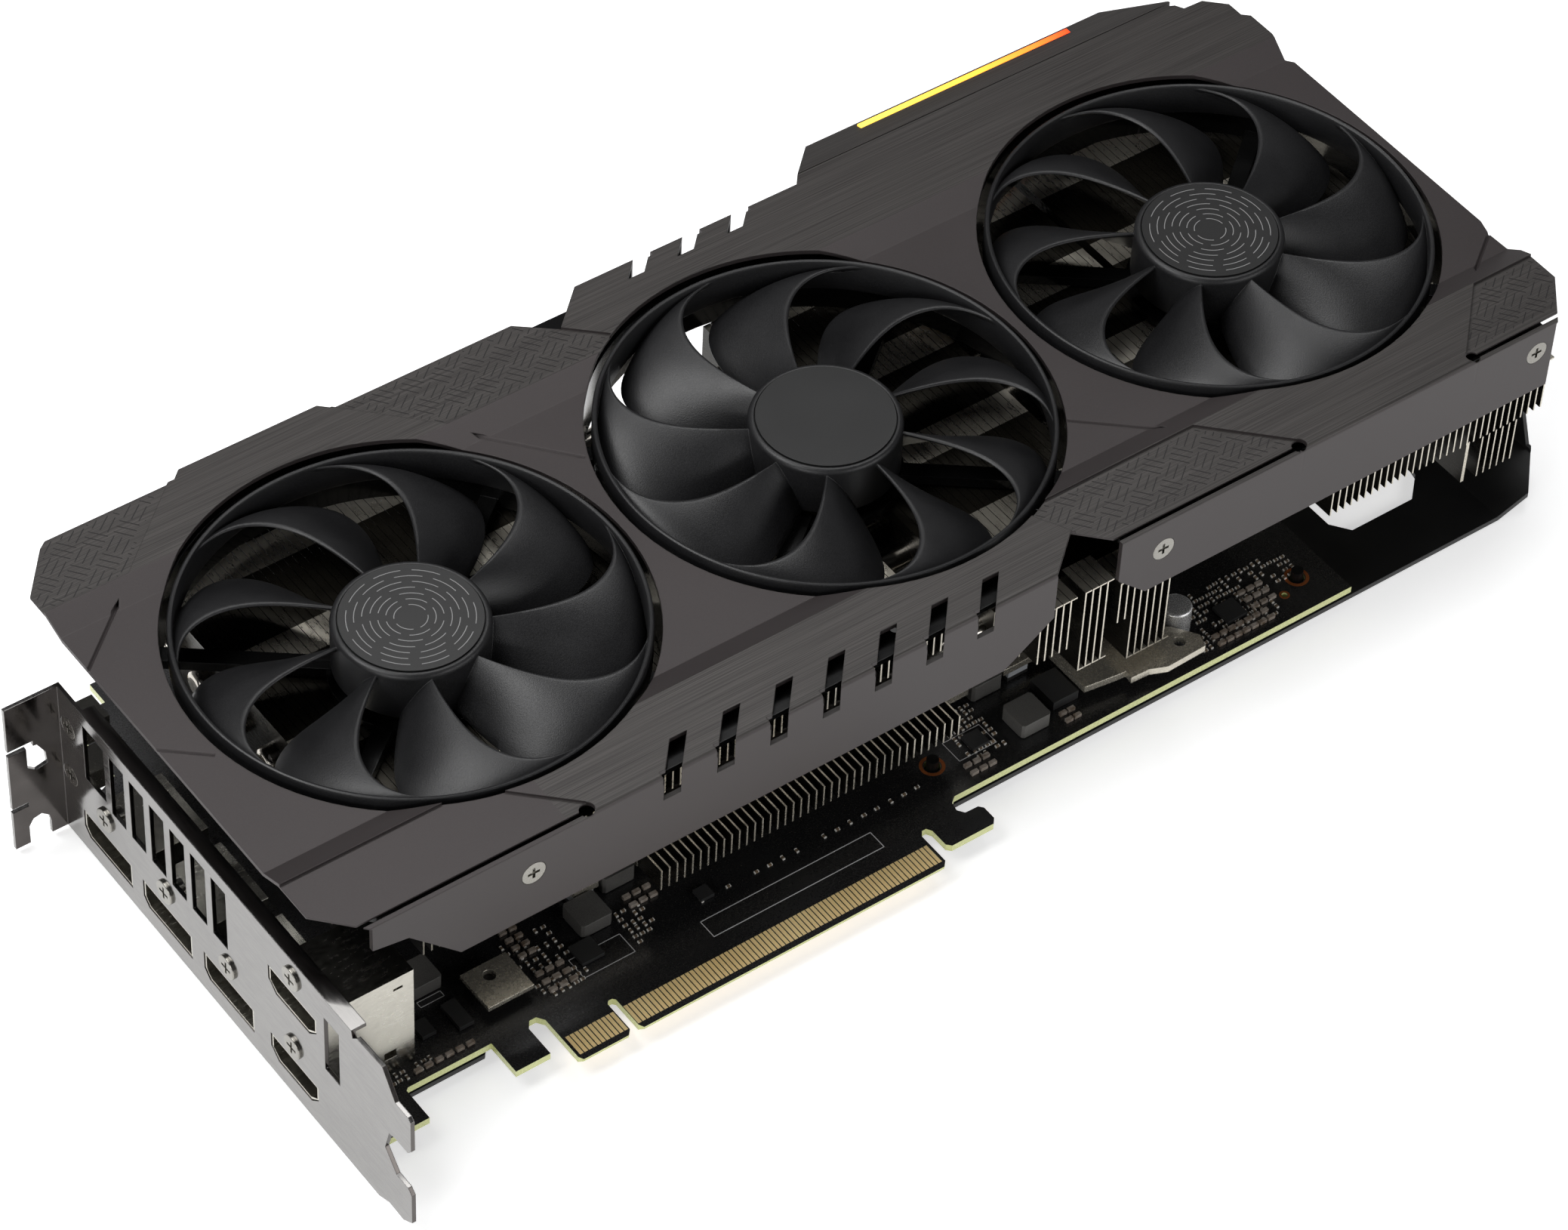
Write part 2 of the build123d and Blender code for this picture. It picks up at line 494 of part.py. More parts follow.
def make_hdmi_block():
    """Two display sockets one above the other in a folded steel can."""
    body = block(BRACKET_SHEET + 0.05, 20.8, 17.0, 33.4, 0.05, 25.9)
    collars = [along_x(hdmi_opening(z, 7.8, 5.4, 2.8), PORT_FRONT_X, 2.0) for z in HDMI_Z]
    body = body + collars
    body -= [along_x(hdmi_opening(z, 7.4, 5.1, 2.4), -1, 12.0) for z in HDMI_Z]
    body -= pin_x(HDMI_Y, 10.2, 0, 5, 1.5)
    body -= block(14.2, 16.8, 16.0, 19.4, 4.2, 6.2)
    body -= block(16.4, 18.4, 16.0, 18.0, 22.6, 23.2)
    body -= block(4.0, 18.0, 32.8, 34.0, 6.0, 20.0)
    body -= [block(2.0, 19.8, 18.2, 32.2, 8.2, 17.6)]
    return body


save("hdmi_shell", make_hdmi_block())
save("hdmi_tongues", group([block(5.0, 11.95, HDMI_Y - 5.8, HDMI_Y + 5.8, z - 0.1, z + 0.9) for z in HDMI_Z]))


# ---- circuit board with its edge contacts ----
HOLE_A = (143.8, 21.6)
HOLE_B = (235.5, 21.2)
GPU_HOLES = [(GPU_X + dx, GPU_Y + dy) for dx in (-30, 30) for dy in (-30, 30)]
PLATE_HOLES = [(42.0, 24.0), (202.0, 17.8), (24.0, 118.0), (202.0, 118.0)]


def make_board():
    outline = [
        (3.0, 4.3), (15.6, 4.3), (15.6, BOARD_NEAR_Y - 0.5), (16.2, BOARD_NEAR_Y),
        (34.6, BOARD_NEAR_Y), (34.6, 4.3),
        (42.3, 4.3), (42.3, 11.4), (43.4, 12.9), (44.9, 12.9), (46.0, 11.4), (46.0, 0.8),
        (46.8, 0), (56.9, 0), (57.7, 0.8), (57.7, 8.0), (58.2, 8.6), (59.1, 8.6), (59.6, 8.0),
        (59.6, 0.8), (60.4, 0), (130.4, 0), (131.2, 0.8), (131.2, 8.2), (132.0, 9.3),
        (133.0, 9.3), (133.7, 8.2), (133.7, 4.0), (134.6, 3.05), (144.6, 3.05), (145.6, 4.2),
        (145.6, 7.4), (144.8, 8.3), (141.8, 8.4), (140.8, 9.8), (141.2, 11.8), (142.6, 12.9),
        (BOARD_END_X, 12.9), (BOARD_END_X, BOARD_FAR_Y), (76.5, BOARD_FAR_Y), (76.5, 131.2),
        (20.5, 131.2), (20.5, BOARD_FAR_Y), (12.0, BOARD_FAR_Y), (12.0, 108.0), (3.0, 104.0),
    ]
    board = slab(outline, -BOARD_THICK, 0)
    for x0, x1 in ((46.0, 59.6), (59.6, 131.2)):
        board -= along_x([(-0.2, -0.6), (0.9, 0), (0.9, 0.2), (-0.2, 0.2)], x0, x1)
        board -= along_x([(-0.2, -BOARD_THICK + 0.6), (0.9, -BOARD_THICK), (0.9, -2), (-0.2, -2)], x0, x1)
    holes = [disc(x, y, -3, 1, 1.7) for x, y in [HOLE_A, HOLE_B] + GPU_HOLES + PLATE_HOLES]
    holes.append(disc(230.3, 18.7, -3, 1, 0.6))
    return board - holes


save("circuit_board", make_board())

finger_x = [KEY_X - 12.15 + 0.15 + i for i in range(11)] + [KEY_X + 0.95 + 0.15 + i for i in range(71)]
fingers = []
for x in finger_x:
    for z in (0.0, -BOARD_THICK - 0.06):
        fingers.append(block(x, x + 0.76, 1.0, 5.9, z, z + 0.06))
save("edge_contacts", group(fingers))
bridge = [block(22.0 + i, 22.7 + i, 127.0, 130.6, 0, 0.06) for i in range(53) if not 24 <= i <= 26]
save("bridge_contacts", group(bridge))


# ---- processor, memory and power parts on the board ----
save("gpu_package", block(GPU_X - 20, GPU_X + 20, GPU_Y - 20, GPU_Y + 20, 0.1, 1.7))
save("gpu_die", block(GPU_X - 14, GPU_X + 14, GPU_Y - 11, GPU_Y + 11, 1.7, 2.5))
MEMORY = [(GPU_X + dx, GPU_Y + dy, 14, 12) for dx in (-17, 0, 17) for dy in (31,)]
MEMORY += [(GPU_X + dx, GPU_Y + dy, 12, 14) for dx in (-31, 31) for dy in (-16, 0, 16)]
MEMORY += [(GPU_X + dx, GPU_Y - 31, 14, 12) for dx in (-9, 9)]
save("memory_chips", group([block(x - a / 2, x + a / 2, y - b / 2, y + b / 2, 0.1, 1.3) for x, y, a, b in MEMORY]))
pads = [block(x - 5, x + 5, y - 5, y + 5, 1.3, 2.4) for x, y, a, b in MEMORY]

STAGE_Y = [34 + 8.6 * i for i in range(9)]
STAGE_X = (68.0, 172.0)
save("power_stages", group([block(x - 2.5, x + 2.5, y - 3, y + 3, 0.1, 1.1) for x in STAGE_X for y in STAGE_Y]))
pads += [block(x - 2.4, x + 2.4, STAGE_Y[0] - 3, STAGE_Y[-1] + 3, 1.1, 2.4) for x in STAGE_X]
save("thermal_pads", group(pads))


def make_choke(x, y, size, height):
    """A square moulded choke with two soldered ends."""
    body = block(x - size / 2, x + size / 2, y - size / 2, y + size / 2, 0.25, height)
    body = chamfer(body.edges().filter_by(Axis.Z), size * 0.07)
    ends = [block(x + s * size * 0.42 - 0.5, x + s * size * 0.42 + 0.5, y - size / 3, y + size / 3, 0.05, 0.25)
            for s in (-1, 1)]
    return body + ends


CHOKE_X = (76.0, 164.0)
CHOKES = [(x, y, 7.4, 4.2) for x in CHOKE_X for y in STAGE_Y]
CHOKES += [(66.2, 27.0, 7.0, 3.4), (166.0, 20.6, 7.0, 3.6), (31.4, 32.0, 6.6, 3.4)]
save("chokes", group([make_choke(*c) for c in CHOKES]))


def make_can(x, y, radius, height):
    """A round capacitor in an aluminium can with a pinched waist near its foot."""
    can = disc(x, y, 0.05, height, radius)
    can = fillet(can.edges().group_by(Axis.Z)[-1], 0.5)
    return can - ring(x, y, 1.0, 1.7, radius + 1, radius - 0.35)


CANS = [(206.2, 24.2, 3.2, 6.6), (206.2, 33.0, 3.2, 6.6), (206.2, 41.8, 3.2, 6.6)]
CANS += [(x, 46 + 8.0 * i, 3.2, 6.0) for x in (56.0, 188.0) for i in range(8)]
save("can_capacitors", group([make_can(*c) for c in CANS]))
save("shunt_resistor", block(31.4, 34.6, 18.0, 24.6, 0.1, 1.1))

CHIPS = [(61.5, 20.5, 5, 5, 0.9), (154.6, 22.0, 4, 4, 0.9), (175.3, 23.6, 6.2, 7.6, 2.3), (88.0, 19.8, 3, 3, 0.9),
         (218.0, 21.0, 5, 5, 1.0), (26.0, 22.0, 3, 4, 1.0), (26.0, 45.0, 8, 6, 1.2), (222.0, 60.0, 9, 9, 1.0)]
save("control_chips", group([block(x - a / 2, x + a / 2, y - b / 2, y + b / 2, 0.1, z) for x, y, a, b, z in CHIPS]))
small = []
CAP_FIELDS = [
    # near left corner x and y, columns, rows, step
    (50.4, 16.0, 3, 3, 2.3), (74.6, 24.6, 3, 2, 2.3), (148.6, 15.0, 3, 2, 2.2), (172.4, 15.6, 2, 2, 2.0),
    (210.4, 14.8, 7, 2, 2.1), (222.4, 19.0, 3, 3, 2.2), (19.0, 14.0, 6, 1, 2.3), (26.0, 50.8, 4, 2, 2.3),
    (50.2, 26.0, 2, 4, 2.2),
]
for cx, cy, columns, rows, step in CAP_FIELDS:
    for i in range(columns):
        for j in range(rows):
            x, y = cx + i * step, cy + j * step
            small.append(block(x, x + 1.6, y, y + 0.8, 0.05, 0.85))
save("chip_capacitors", group(small))


# ---- power sockets, fan sockets and the firmware switch at the far edge ----
POWER_X = (213.0, 233.0)
SOCKET_FRONT = 127.2


def make_power_socket(x):
    """An eight-way power socket that opens towards the far edge."""
    body = block(x - 9.4, x + 9.4, SOCKET_FRONT - 13.6, SOCKET_FRONT, 0.1, 10.4)
    holes = [block(x - 9.4 + 0.8 + 4.4 * i, x - 9.4 + 4.8 + 4.4 * i, SOCKET_FRONT - 10, SOCKET_FRONT + 1,
                   z, z + 4.0) for i in range(4) for z in (0.9, 5.7)]
    latch = block(x - 2.4, x + 2.4, SOCKET_FRONT - 3.4, SOCKET_FRONT - 0.6, 10.4, 11.8)
    return (body - holes) + latch


save("power_sockets", group([make_power_socket(x) for x in POWER_X]))
pins = [block(x - 9.4 + 2.3 + 4.4 * i, x - 9.4 + 3.3 + 4.4 * i, SOCKET_FRONT - 10, SOCKET_FRONT - 3, z, z + 1.0)
        for x in POWER_X for i in range(4) for z in (2.4, 7.2)]
save("power_pins", group(pins))


def make_fan_socket(x, y):
    body = block(x - 5, x + 5, y - 2.4, y + 2.4, 0.05, 5.2)
    return body - block(x - 4.3, x + 4.3, y - 1.7, y + 1.7, 1.0, 6)


save("fan_sockets", group([make_fan_socket(x, 120.4) for x in (150.0, 163.0)]))

SWITCH_X = 190.0
SWITCH_TRAVEL = 2.0
switch_body = block(SWITCH_X - 4.4, SWITCH_X + 4.4, 119.8, 124.6, 0.1, 3.6)
switch_body -= block(SWITCH_X - 2.6, SWITCH_X + 2.6, 121.6, 125, 1.1, 2.7)
save("firmware_switch_body", switch_body)
slider = block(SWITCH_X - 2.5, SWITCH_X - 0.5, 121.7, 124.9, 1.2, 2.6)
slider += block(SWITCH_X - 2.1, SWITCH_X - 0.9, 124.7, 126.6, 1.3, 2.5)
save("firmware_switch_slider", slider)


# ---- cooler: cold plate, memory plate, heat pipes and fins ----
save("thermal_paste", block(GPU_X - 13.9, GPU_X + 13.9, GPU_Y - 10.9, GPU_Y + 10.9, 2.5, 2.6))
cold_plate = block(GPU_X - 24, GPU_X + 24, GPU_Y - 24, GPU_Y + 24, 2.6, 6.2)
save("cold_plate", cold_plate)


def make_frame_plate():
    """The stamped plate round the cold plate that cools memory and power stages."""
    low, high = 2.4, 4.0
    body = block(66, 178, 31, 106, low, high) + block(60, 200, 106, 112, low, high)
    body -= block(GPU_X - 24.4, GPU_X + 24.4, GPU_Y - 24.4, GPU_Y + 24.4, 2, 5)
    body -= [block(x - 4.4, x + 4.4, 28, 107.4, 2, 5) for x in CHOKE_X]
    tongue = [(178.8, 30.0), (178.8, 18.6), (186.0, 17.6), (188.2, 17.4), (188.0, 15.4), (192.4, 15.2),
              (196.0, 13.7), (205.6, 14.0), (206.6, 17.0), (203.0, 22.0), (200.5, 24.0), (200.5, 30.0)]
    body += [slab(tongue, low, high), block(192, 200.5, 20.0, 108, low, high)]
    for x, y in GPU_HOLES + [PLATE_HOLES[1]]:
        body -= disc(x, y, 2, 5, SCREW_R + 0.05)
    clamp = block(37.4, 47.6, 17.4, 27.0, 2.2, 3.2) - disc(42, 24, 0, 5, 1.3)
    clamp += ring(42, 24, 0.05, 2.2, 2.6, 1.3)
    return group([body, clamp])


save("frame_plate", make_frame_plate())

PIPE_R = 3.0
PIPE_Z = 21.5
PIPE_Y = [30.0, 42.0, 54.0, 66.0, 78.0, 90.0, 102.0, 114.0]
PIPE_RUN = (27.0, 291.0)
LOW_PIPE_Y = [50.0, 57.2, 64.4, 71.6, 78.8, 86.0]
FIN = 0.35
FIN_PITCH = 1.8


def fin(low_z, high_z, near_y, far_y, foot):
    """One cooling fin, standing across the card, with pipe holes, a folded top and maybe a folded foot."""
    plate = block(0, FIN, near_y, far_y, low_z, high_z)
    plate += block(0, FIN_PITCH - 0.15, near_y, far_y, high_z - FIN, high_z)
    if foot:
        plate += block(0, FIN_PITCH - 0.15, near_y, far_y, low_z, low_z + FIN)
    holes = [pin_x(y, PIPE_Z, -1, 2, PIPE_R + 0.04) for y in PIPE_Y if near_y - 4 < y < far_y + 4]
    return plate - holes


def fin_row(x0, x1, low_z, high_z, near_y, far_y, foot=False):
    first = fin(low_z, high_z, near_y, far_y, foot)
    count = int((x1 - x0) / FIN_PITCH)
    return [Pos(x0 + i * FIN_PITCH, 0, 0) * first for i in range(count)]


def skirt_row(x, count, near_y, far_y, low_z, high_z):
    """Loose fins that hang below a block, between the parts on the board."""
    return [Pos(x + i * FIN_PITCH, 0, 0) * block(0, FIN, near_y, far_y, low_z, high_z) for i in range(count)]


front = fin_row(30.0, 118.0, 13.0, 29.8, 28.0, 129.4) + fin_row(118.2, 152.0, 13.0, 29.8, 28.0, 104.0)
front += skirt_row(78.0, 40, 20.0, 27.5, 7.6, 12.95)
save("fins_front", group(front))
middle = fin_row(160.0, 200.0, 13.0, 29.8, 25.9, 122.0) + fin_row(165.1, 174.2, 18.9, 32.6, 18.2, 25.7)
middle += fin_row(175.9, 183.2, 10.7, 32.6, 18.2, 25.7, foot=True) + fin_row(184.9, 188.6, 18.9, 29.8, 18.2, 25.7)
middle += fin_row(188.5, 199.4, 6.7, 29.8, 18.2, 25.7, foot=True)
save("fins_middle", group(middle))
rear = fin_row(204.0, 239.0, 15.6, 29.8, 26.2, 129.4) + fin_row(240.0, 297.6, 16.6, 29.8, 19.0, 129.4)
rear += skirt_row(280.4, 6, 19.0, 44.0, 5.4, 16.55)
rear.append(block(276.6, 277.4, 19.4, 40.0, 5.4, 16.55))
save("fins_rear", group(rear))
pipes = [pin_x(y, PIPE_Z, PIPE_RUN[0], PIPE_RUN[1], PIPE_R) for y in PIPE_Y]
save("heat_pipes", group([fillet(p.edges(), 1.2) for p in pipes]))
low_pipes = [block(72, 196, y - 3.2, y + 3.2, 6.3, 11.2) for y in LOW_PIPE_Y]
save("base_pipes", group([fillet(p.edges().filter_by(Axis.X), 2.2) for p in low_pipes]))


# ---- backplate and its fasteners ----
PLATE_LOW = BASE_Z
PLATE_SHEET = 1.2
VENT_HEX_X = (253.4, 279.4)


def hex_opening(y0, y1):
    x0, x1 = VENT_HEX_X
    return slab([(x0 + 3, y0), (x1 - 7, y0), (x1 - 1.8, y0 + 5), (x1, y0 + 12), (x1, y1 - 3), (x1 - 3, y1),
                 (x0 + 3, y1), (x0, y1 - 3), (x0, y0 + 4)], -20, 20)


BOSS_TOP = -BOARD_THICK - 0.05
GPU_WINDOW = 38.0
TAIL_LIP_Z = 30.6


def make_backplate():
    """Flat sheet with a turned-up tail, vents behind the last fan and bosses that reach the board."""
    top = PLATE_LOW + PLATE_SHEET
    profile = [(3.0, PLATE_LOW), (284.0, PLATE_LOW), (299.0, PLATE_LOW + 5.0), (299.0, TAIL_LIP_Z),
               (298.0, TAIL_LIP_Z), (298.0, PLATE_LOW + 5.9), (283.6, top), (3.0, top)]
    flat = [(3.4, 13.6), (34.0, 13.6), (36.0, 16.0), (128.0, 16.0), (140.0, 14.0), (291.6, 14.0),
            (298.9, 22.0), (298.9, 118.0), (291.0, 126.0), (12.0, 126.0), (12.0, 109.0), (3.4, 105.0)]
    body = along_y(profile, 10, 130) & slab(flat, -20, 50)
    body -= along_x([(10, 1.5), (22.6, 1.5), (26.0, 11.0), (38.0, 40.0), (10, 40.0)], 290, 305)
    body -= along_x([(118, 12.0), (104, 40.0), (130, 40.0), (130, 12.0)], 290, 305)
    body -= [block(290, 305, y, y + 3.2, 20.5, 27.5) for y in (66, 74, 82, 90, 98)]
    body -= [hex_opening(27.8 + 29.0 * i, 52.8 + 29.0 * i) for i in range(3)]
    body -= block(GPU_X - GPU_WINDOW, GPU_X + GPU_WINDOW, GPU_Y - GPU_WINDOW, GPU_Y + GPU_WINDOW, -20, 20)
    for x, y in BOARD_SCREWS:
        body += disc(x, y, top - 0.2, BOSS_TOP, 3.0)
    for x, y in BOARD_SCREWS:
        body -= disc(x, y, -20, 20, SCREW_R + 0.05)
        body -= Pos(x, y, PLATE_LOW + 0.5) * Cone(2.6, 1.3, 1.1)
    return body


BOARD_SCREWS = [HOLE_A, HOLE_B] + PLATE_HOLES
save("backplate", make_backplate())


def rear_screw(x, y, head_r, low, head_top, tip):
    """A cross-head screw that goes in from the back of the card."""
    cross = block(x - 1.3, x + 1.3, y - 0.3, y + 0.3, low - 1, low + 0.5)
    cross += block(x - 0.3, x + 0.3, y - 1.3, y + 1.3, low - 1, low + 0.5)
    return (disc(x, y, low, head_top, head_r) + disc(x, y, low, tip, SCREW_R)) - cross


flush = [Pos(x, y, PLATE_LOW + 0.52) * Cone(2.5, 1.25, 0.98) + disc(x, y, PLATE_LOW + 0.5, 2.0, SCREW_R)
         for x, y in BOARD_SCREWS]
save("backplate_screws", group(flush))

CROSS_LOW = PLATE_LOW + PLATE_SHEET + 0.1
CROSS_TOP = CROSS_LOW + 1.1


def make_cross():
    """Spring-steel cross that pulls the cold plate onto the processor."""
    arms = [Rot(0, 0, angle) * block(-47, 47, -5, 5, CROSS_LOW, CROSS_TOP) for angle in (45, -45)]
    body = Pos(GPU_X, GPU_Y, 0) * (arms[0] + arms[1])
    body -= disc(GPU_X, GPU_Y, -20, 20, 12)
    return body - [disc(x, y, -20, 20, SCREW_R + 0.05) for x, y in GPU_HOLES]


save("retention_cross", make_cross())
save("retention_screws", group([rear_screw(x, y, 2.7, PLATE_LOW + 0.1, CROSS_LOW - 0.02, 3.9) for x, y in GPU_HOLES]))
save("retention_springs", group([ring(x, y, CROSS_TOP + 0.03, BOSS_TOP, 2.4, 1.4) for x, y in GPU_HOLES]))
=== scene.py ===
import math
import bmesh
import bpy
from mathutils import Matrix, Vector


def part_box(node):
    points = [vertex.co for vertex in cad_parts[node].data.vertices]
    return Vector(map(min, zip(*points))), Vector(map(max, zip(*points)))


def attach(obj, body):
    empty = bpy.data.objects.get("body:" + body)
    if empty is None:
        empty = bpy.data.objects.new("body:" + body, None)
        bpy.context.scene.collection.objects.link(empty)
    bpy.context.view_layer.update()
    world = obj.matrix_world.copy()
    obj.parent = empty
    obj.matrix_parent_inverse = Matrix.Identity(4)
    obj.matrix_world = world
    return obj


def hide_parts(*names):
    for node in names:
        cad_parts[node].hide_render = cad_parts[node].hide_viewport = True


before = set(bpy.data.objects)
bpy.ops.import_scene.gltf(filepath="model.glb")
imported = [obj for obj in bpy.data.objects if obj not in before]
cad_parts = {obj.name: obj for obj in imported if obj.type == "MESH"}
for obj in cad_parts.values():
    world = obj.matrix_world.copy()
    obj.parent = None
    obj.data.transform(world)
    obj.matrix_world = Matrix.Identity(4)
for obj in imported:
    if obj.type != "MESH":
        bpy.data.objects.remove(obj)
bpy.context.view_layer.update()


# ---- camera, light and floor ----
# A pale paper sweep under large soft lamps. The camera looks down at the near left corner,
# with the slot bracket closest to it.
MM = 0.001
BOARD_LOW, BOARD_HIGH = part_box("circuit_board")
BOARD_SETBACK = 3.0 * MM
ZERO = Vector((BOARD_LOW.x - BOARD_SETBACK, BOARD_LOW.y, BOARD_HIGH.z))


def card(x, y, z):
    """A place from millimetres past the bracket face, above the contact tips and above the board."""
    return ZERO + Vector((x, y, z)) * MM


VIEW_AZIMUTH = math.radians(-38.43)
VIEW_ELEVATION = math.radians(46.24)
VIEW_ROLL = math.radians(3.16)
VIEW_TARGET = card(131.97, 55.4, 20.0)
VIEW_DISTANCE = 1.07371
LENS_MM = 127.33
SENSOR_MM = 36
back = Vector((math.sin(VIEW_AZIMUTH) * math.cos(VIEW_ELEVATION),
               -math.cos(VIEW_AZIMUTH) * math.cos(VIEW_ELEVATION), math.sin(VIEW_ELEVATION)))
level_right = Vector((math.cos(VIEW_AZIMUTH), math.sin(VIEW_AZIMUTH), 0))
level_up = back.cross(level_right)
right = level_right * math.cos(VIEW_ROLL) + level_up * math.sin(VIEW_ROLL)
up = level_up * math.cos(VIEW_ROLL) - level_right * math.sin(VIEW_ROLL)
camera = bpy.data.objects.new("camera", bpy.data.cameras.new("camera"))
camera.data.lens = LENS_MM
camera.data.sensor_width = SENSOR_MM
camera.data.clip_start = 0.05
camera.data.clip_end = 20
place = Matrix((right, up, back)).transposed().to_4x4()
place.translation = VIEW_TARGET + back * VIEW_DISTANCE
camera.matrix_world = place
bpy.context.scene.collection.objects.link(camera)
bpy.context.scene.camera = camera
bpy.context.scene.view_settings.view_transform = "Standard"

world = bpy.data.worlds.new("studio")
world.use_nodes = True
sky_nodes = world.node_tree.nodes
sky_ramp = sky_nodes.new("ShaderNodeValToRGB")
sky_ramp.color_ramp.elements[0].position = 0.50
sky_ramp.color_ramp.elements[0].color = (0.75, 0.75, 0.76, 1)
sky_ramp.color_ramp.elements[1].position = 0.80
sky_ramp.color_ramp.elements[1].color = (0.16, 0.16, 0.17, 1)
sky_where = sky_nodes.new("ShaderNodeTexCoord")
sky_split = sky_nodes.new("ShaderNodeSeparateXYZ")
sky_half = sky_nodes.new("ShaderNodeMath")
sky_half.operation = "MULTIPLY_ADD"
sky_half.inputs[1].default_value = 0.5
sky_half.inputs[2].default_value = 0.5
sky_links = world.node_tree.links
sky_links.new(sky_where.outputs["Generated"], sky_split.inputs[0])
sky_links.new(sky_split.outputs["Z"], sky_half.inputs[0])
sky_links.new(sky_half.outputs[0], sky_ramp.inputs["Fac"])
sky_links.new(sky_ramp.outputs["Color"], sky_nodes["Background"].inputs["Color"])
sky_nodes["Background"].inputs["Strength"].default_value = 0.32
bpy.context.scene.world = world


def lamp(name, location, size, power, aim, tint=(1, 1, 1)):
    """A large square soft lamp turned towards a point."""
    light = bpy.data.lights.new(name, "AREA")
    light.shape = "RECTANGLE"
    light.size, light.size_y = size
    light.energy = power
    light.color = tint
    holder = bpy.data.objects.new(name, light)
    holder.location = location
    holder.rotation_euler = (Vector(location) - Vector(aim)).to_track_quat("Z", "Y").to_euler()
    bpy.context.scene.collection.objects.link(holder)


lamp("key_lamp", (-0.55, 0.25, 0.9), (0.7, 0.5), 7, (0, 0, 0.03))
lamp("top_lamp", (0.25, 0.35, 1.0), (0.8, 0.4), 4.5, (0, 0, 0.03))
lamp("bracket_lamp", (-0.9, -0.45, 0.35), (0.5, 0.3), 2.5, (-0.12, -0.02, 0.02))
lamp("near_lamp", (0.35, -0.9, 0.45), (0.9, 0.3), 3.0, (0, 0, 0.02))


def noise(nodes, links, scale, detail, stretch=(1, 1, 1)):
    """Noise in the object's own metres, optionally drawn out along an axis."""
    where = nodes.new("ShaderNodeTexCoord")
    mapping = nodes.new("ShaderNodeMapping")
    mapping.inputs["Scale"].default_value = stretch
    texture = nodes.new("ShaderNodeTexNoise")
    texture.inputs["Scale"].default_value = scale
    texture.inputs["Detail"].default_value = detail
    links.new(where.outputs["Object"], mapping.inputs["Vector"])
    links.new(mapping.outputs["Vector"], texture.inputs["Vector"])
    return texture.outputs["Fac"]


def remap(nodes, links, value, low, high, start=0.3, stop=0.7):
    """Spreads a 0 to 1 value over a range of numbers."""
    spread = nodes.new("ShaderNodeMapRange")
    spread.inputs["From Min"].default_value = start
    spread.inputs["From Max"].default_value = stop
    spread.inputs["To Min"].default_value = low
    spread.inputs["To Max"].default_value = high
    links.new(value, spread.inputs["Value"])
    return spread.outputs["Result"]


def finish(name, dark, light, rough, metal=0.0, grain=9000, bump=0.15, stretch=(1, 1, 1),
           blotch=60, coat=0.0, edge=0.0, depth=0.00004):
    """A material whose colour, roughness and surface all vary: fine grain over soft blotches."""
    material = bpy.data.materials.new(name)
    material.use_nodes = True
    nodes, links = material.node_tree.nodes, material.node_tree.links
    shader = nodes["Principled BSDF"]
    fine = noise(nodes, links, grain, 3, stretch)
    soft = noise(nodes, links, blotch, 2)
    both = nodes.new("ShaderNodeMath")
    both.operation = "MULTIPLY_ADD"
    both.inputs[1].default_value = 0.6
    halved = nodes.new("ShaderNodeMath")
    halved.operation = "MULTIPLY"
    halved.inputs[1].default_value = 0.4
    links.new(soft, halved.inputs[0])
    links.new(fine, both.inputs[0])
    links.new(halved.outputs[0], both.inputs[2])
    ramp = nodes.new("ShaderNodeValToRGB")
    ramp.color_ramp.elements[0].position = 0.3
    ramp.color_ramp.elements[0].color = (*dark, 1)
    ramp.color_ramp.elements[1].position = 0.7
    ramp.color_ramp.elements[1].color = (*light, 1)
    links.new(both.outputs[0], ramp.inputs["Fac"])
    links.new(ramp.outputs["Color"], shader.inputs["Base Color"])
    links.new(remap(nodes, links, both.outputs[0], rough[0], rough[1]), shader.inputs["Roughness"])
    shader.inputs["Metallic"].default_value = metal
    shader.inputs["Coat Weight"].default_value = coat
    shader.inputs["Coat Roughness"].default_value = 0.12
    relief = nodes.new("ShaderNodeBump")
    relief.inputs["Strength"].default_value = bump
    relief.inputs["Distance"].default_value = depth
    links.new(fine, relief.inputs["Height"])
    if edge:
        rounding = nodes.new("ShaderNodeBevel")
        rounding.samples = 4
        rounding.inputs["Radius"].default_value = edge
        links.new(rounding.outputs["Normal"], relief.inputs["Normal"])
    links.new(relief.outputs["Normal"], shader.inputs["Normal"])
    return material


def dress(node, material):
    """Gives a carried-over node its material."""
    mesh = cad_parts[node].data
    mesh.materials.clear()
    mesh.materials.append(material)


PAPER_REACH = 3.0
PAPER_HEIGHT = -0.4 * MM
floor_mesh = bpy.data.meshes.new("paper_sweep")
floor_corners = [(-PAPER_REACH, -PAPER_REACH), (PAPER_REACH, -PAPER_REACH), (PAPER_REACH, PAPER_REACH),
                 (-PAPER_REACH, PAPER_REACH)]
floor_mesh.from_pydata([(x, y, PAPER_HEIGHT) for x, y in floor_corners], [], [(0, 1, 2, 3)])
floor = bpy.data.objects.new("paper_sweep", floor_mesh)
bpy.context.scene.collection.objects.link(floor)
paper = finish("pale_paper", (0.84, 0.84, 0.84), (0.88, 0.88, 0.88), (0.7, 0.8), grain=900, bump=0.02)
paper_shader = paper.node_tree.nodes["Principled BSDF"]
paper_shader.inputs["Emission Color"].default_value = (1, 1, 1, 1)
paper_shader.inputs["Emission Strength"].default_value = 0.55
floor_mesh.materials.append(paper)


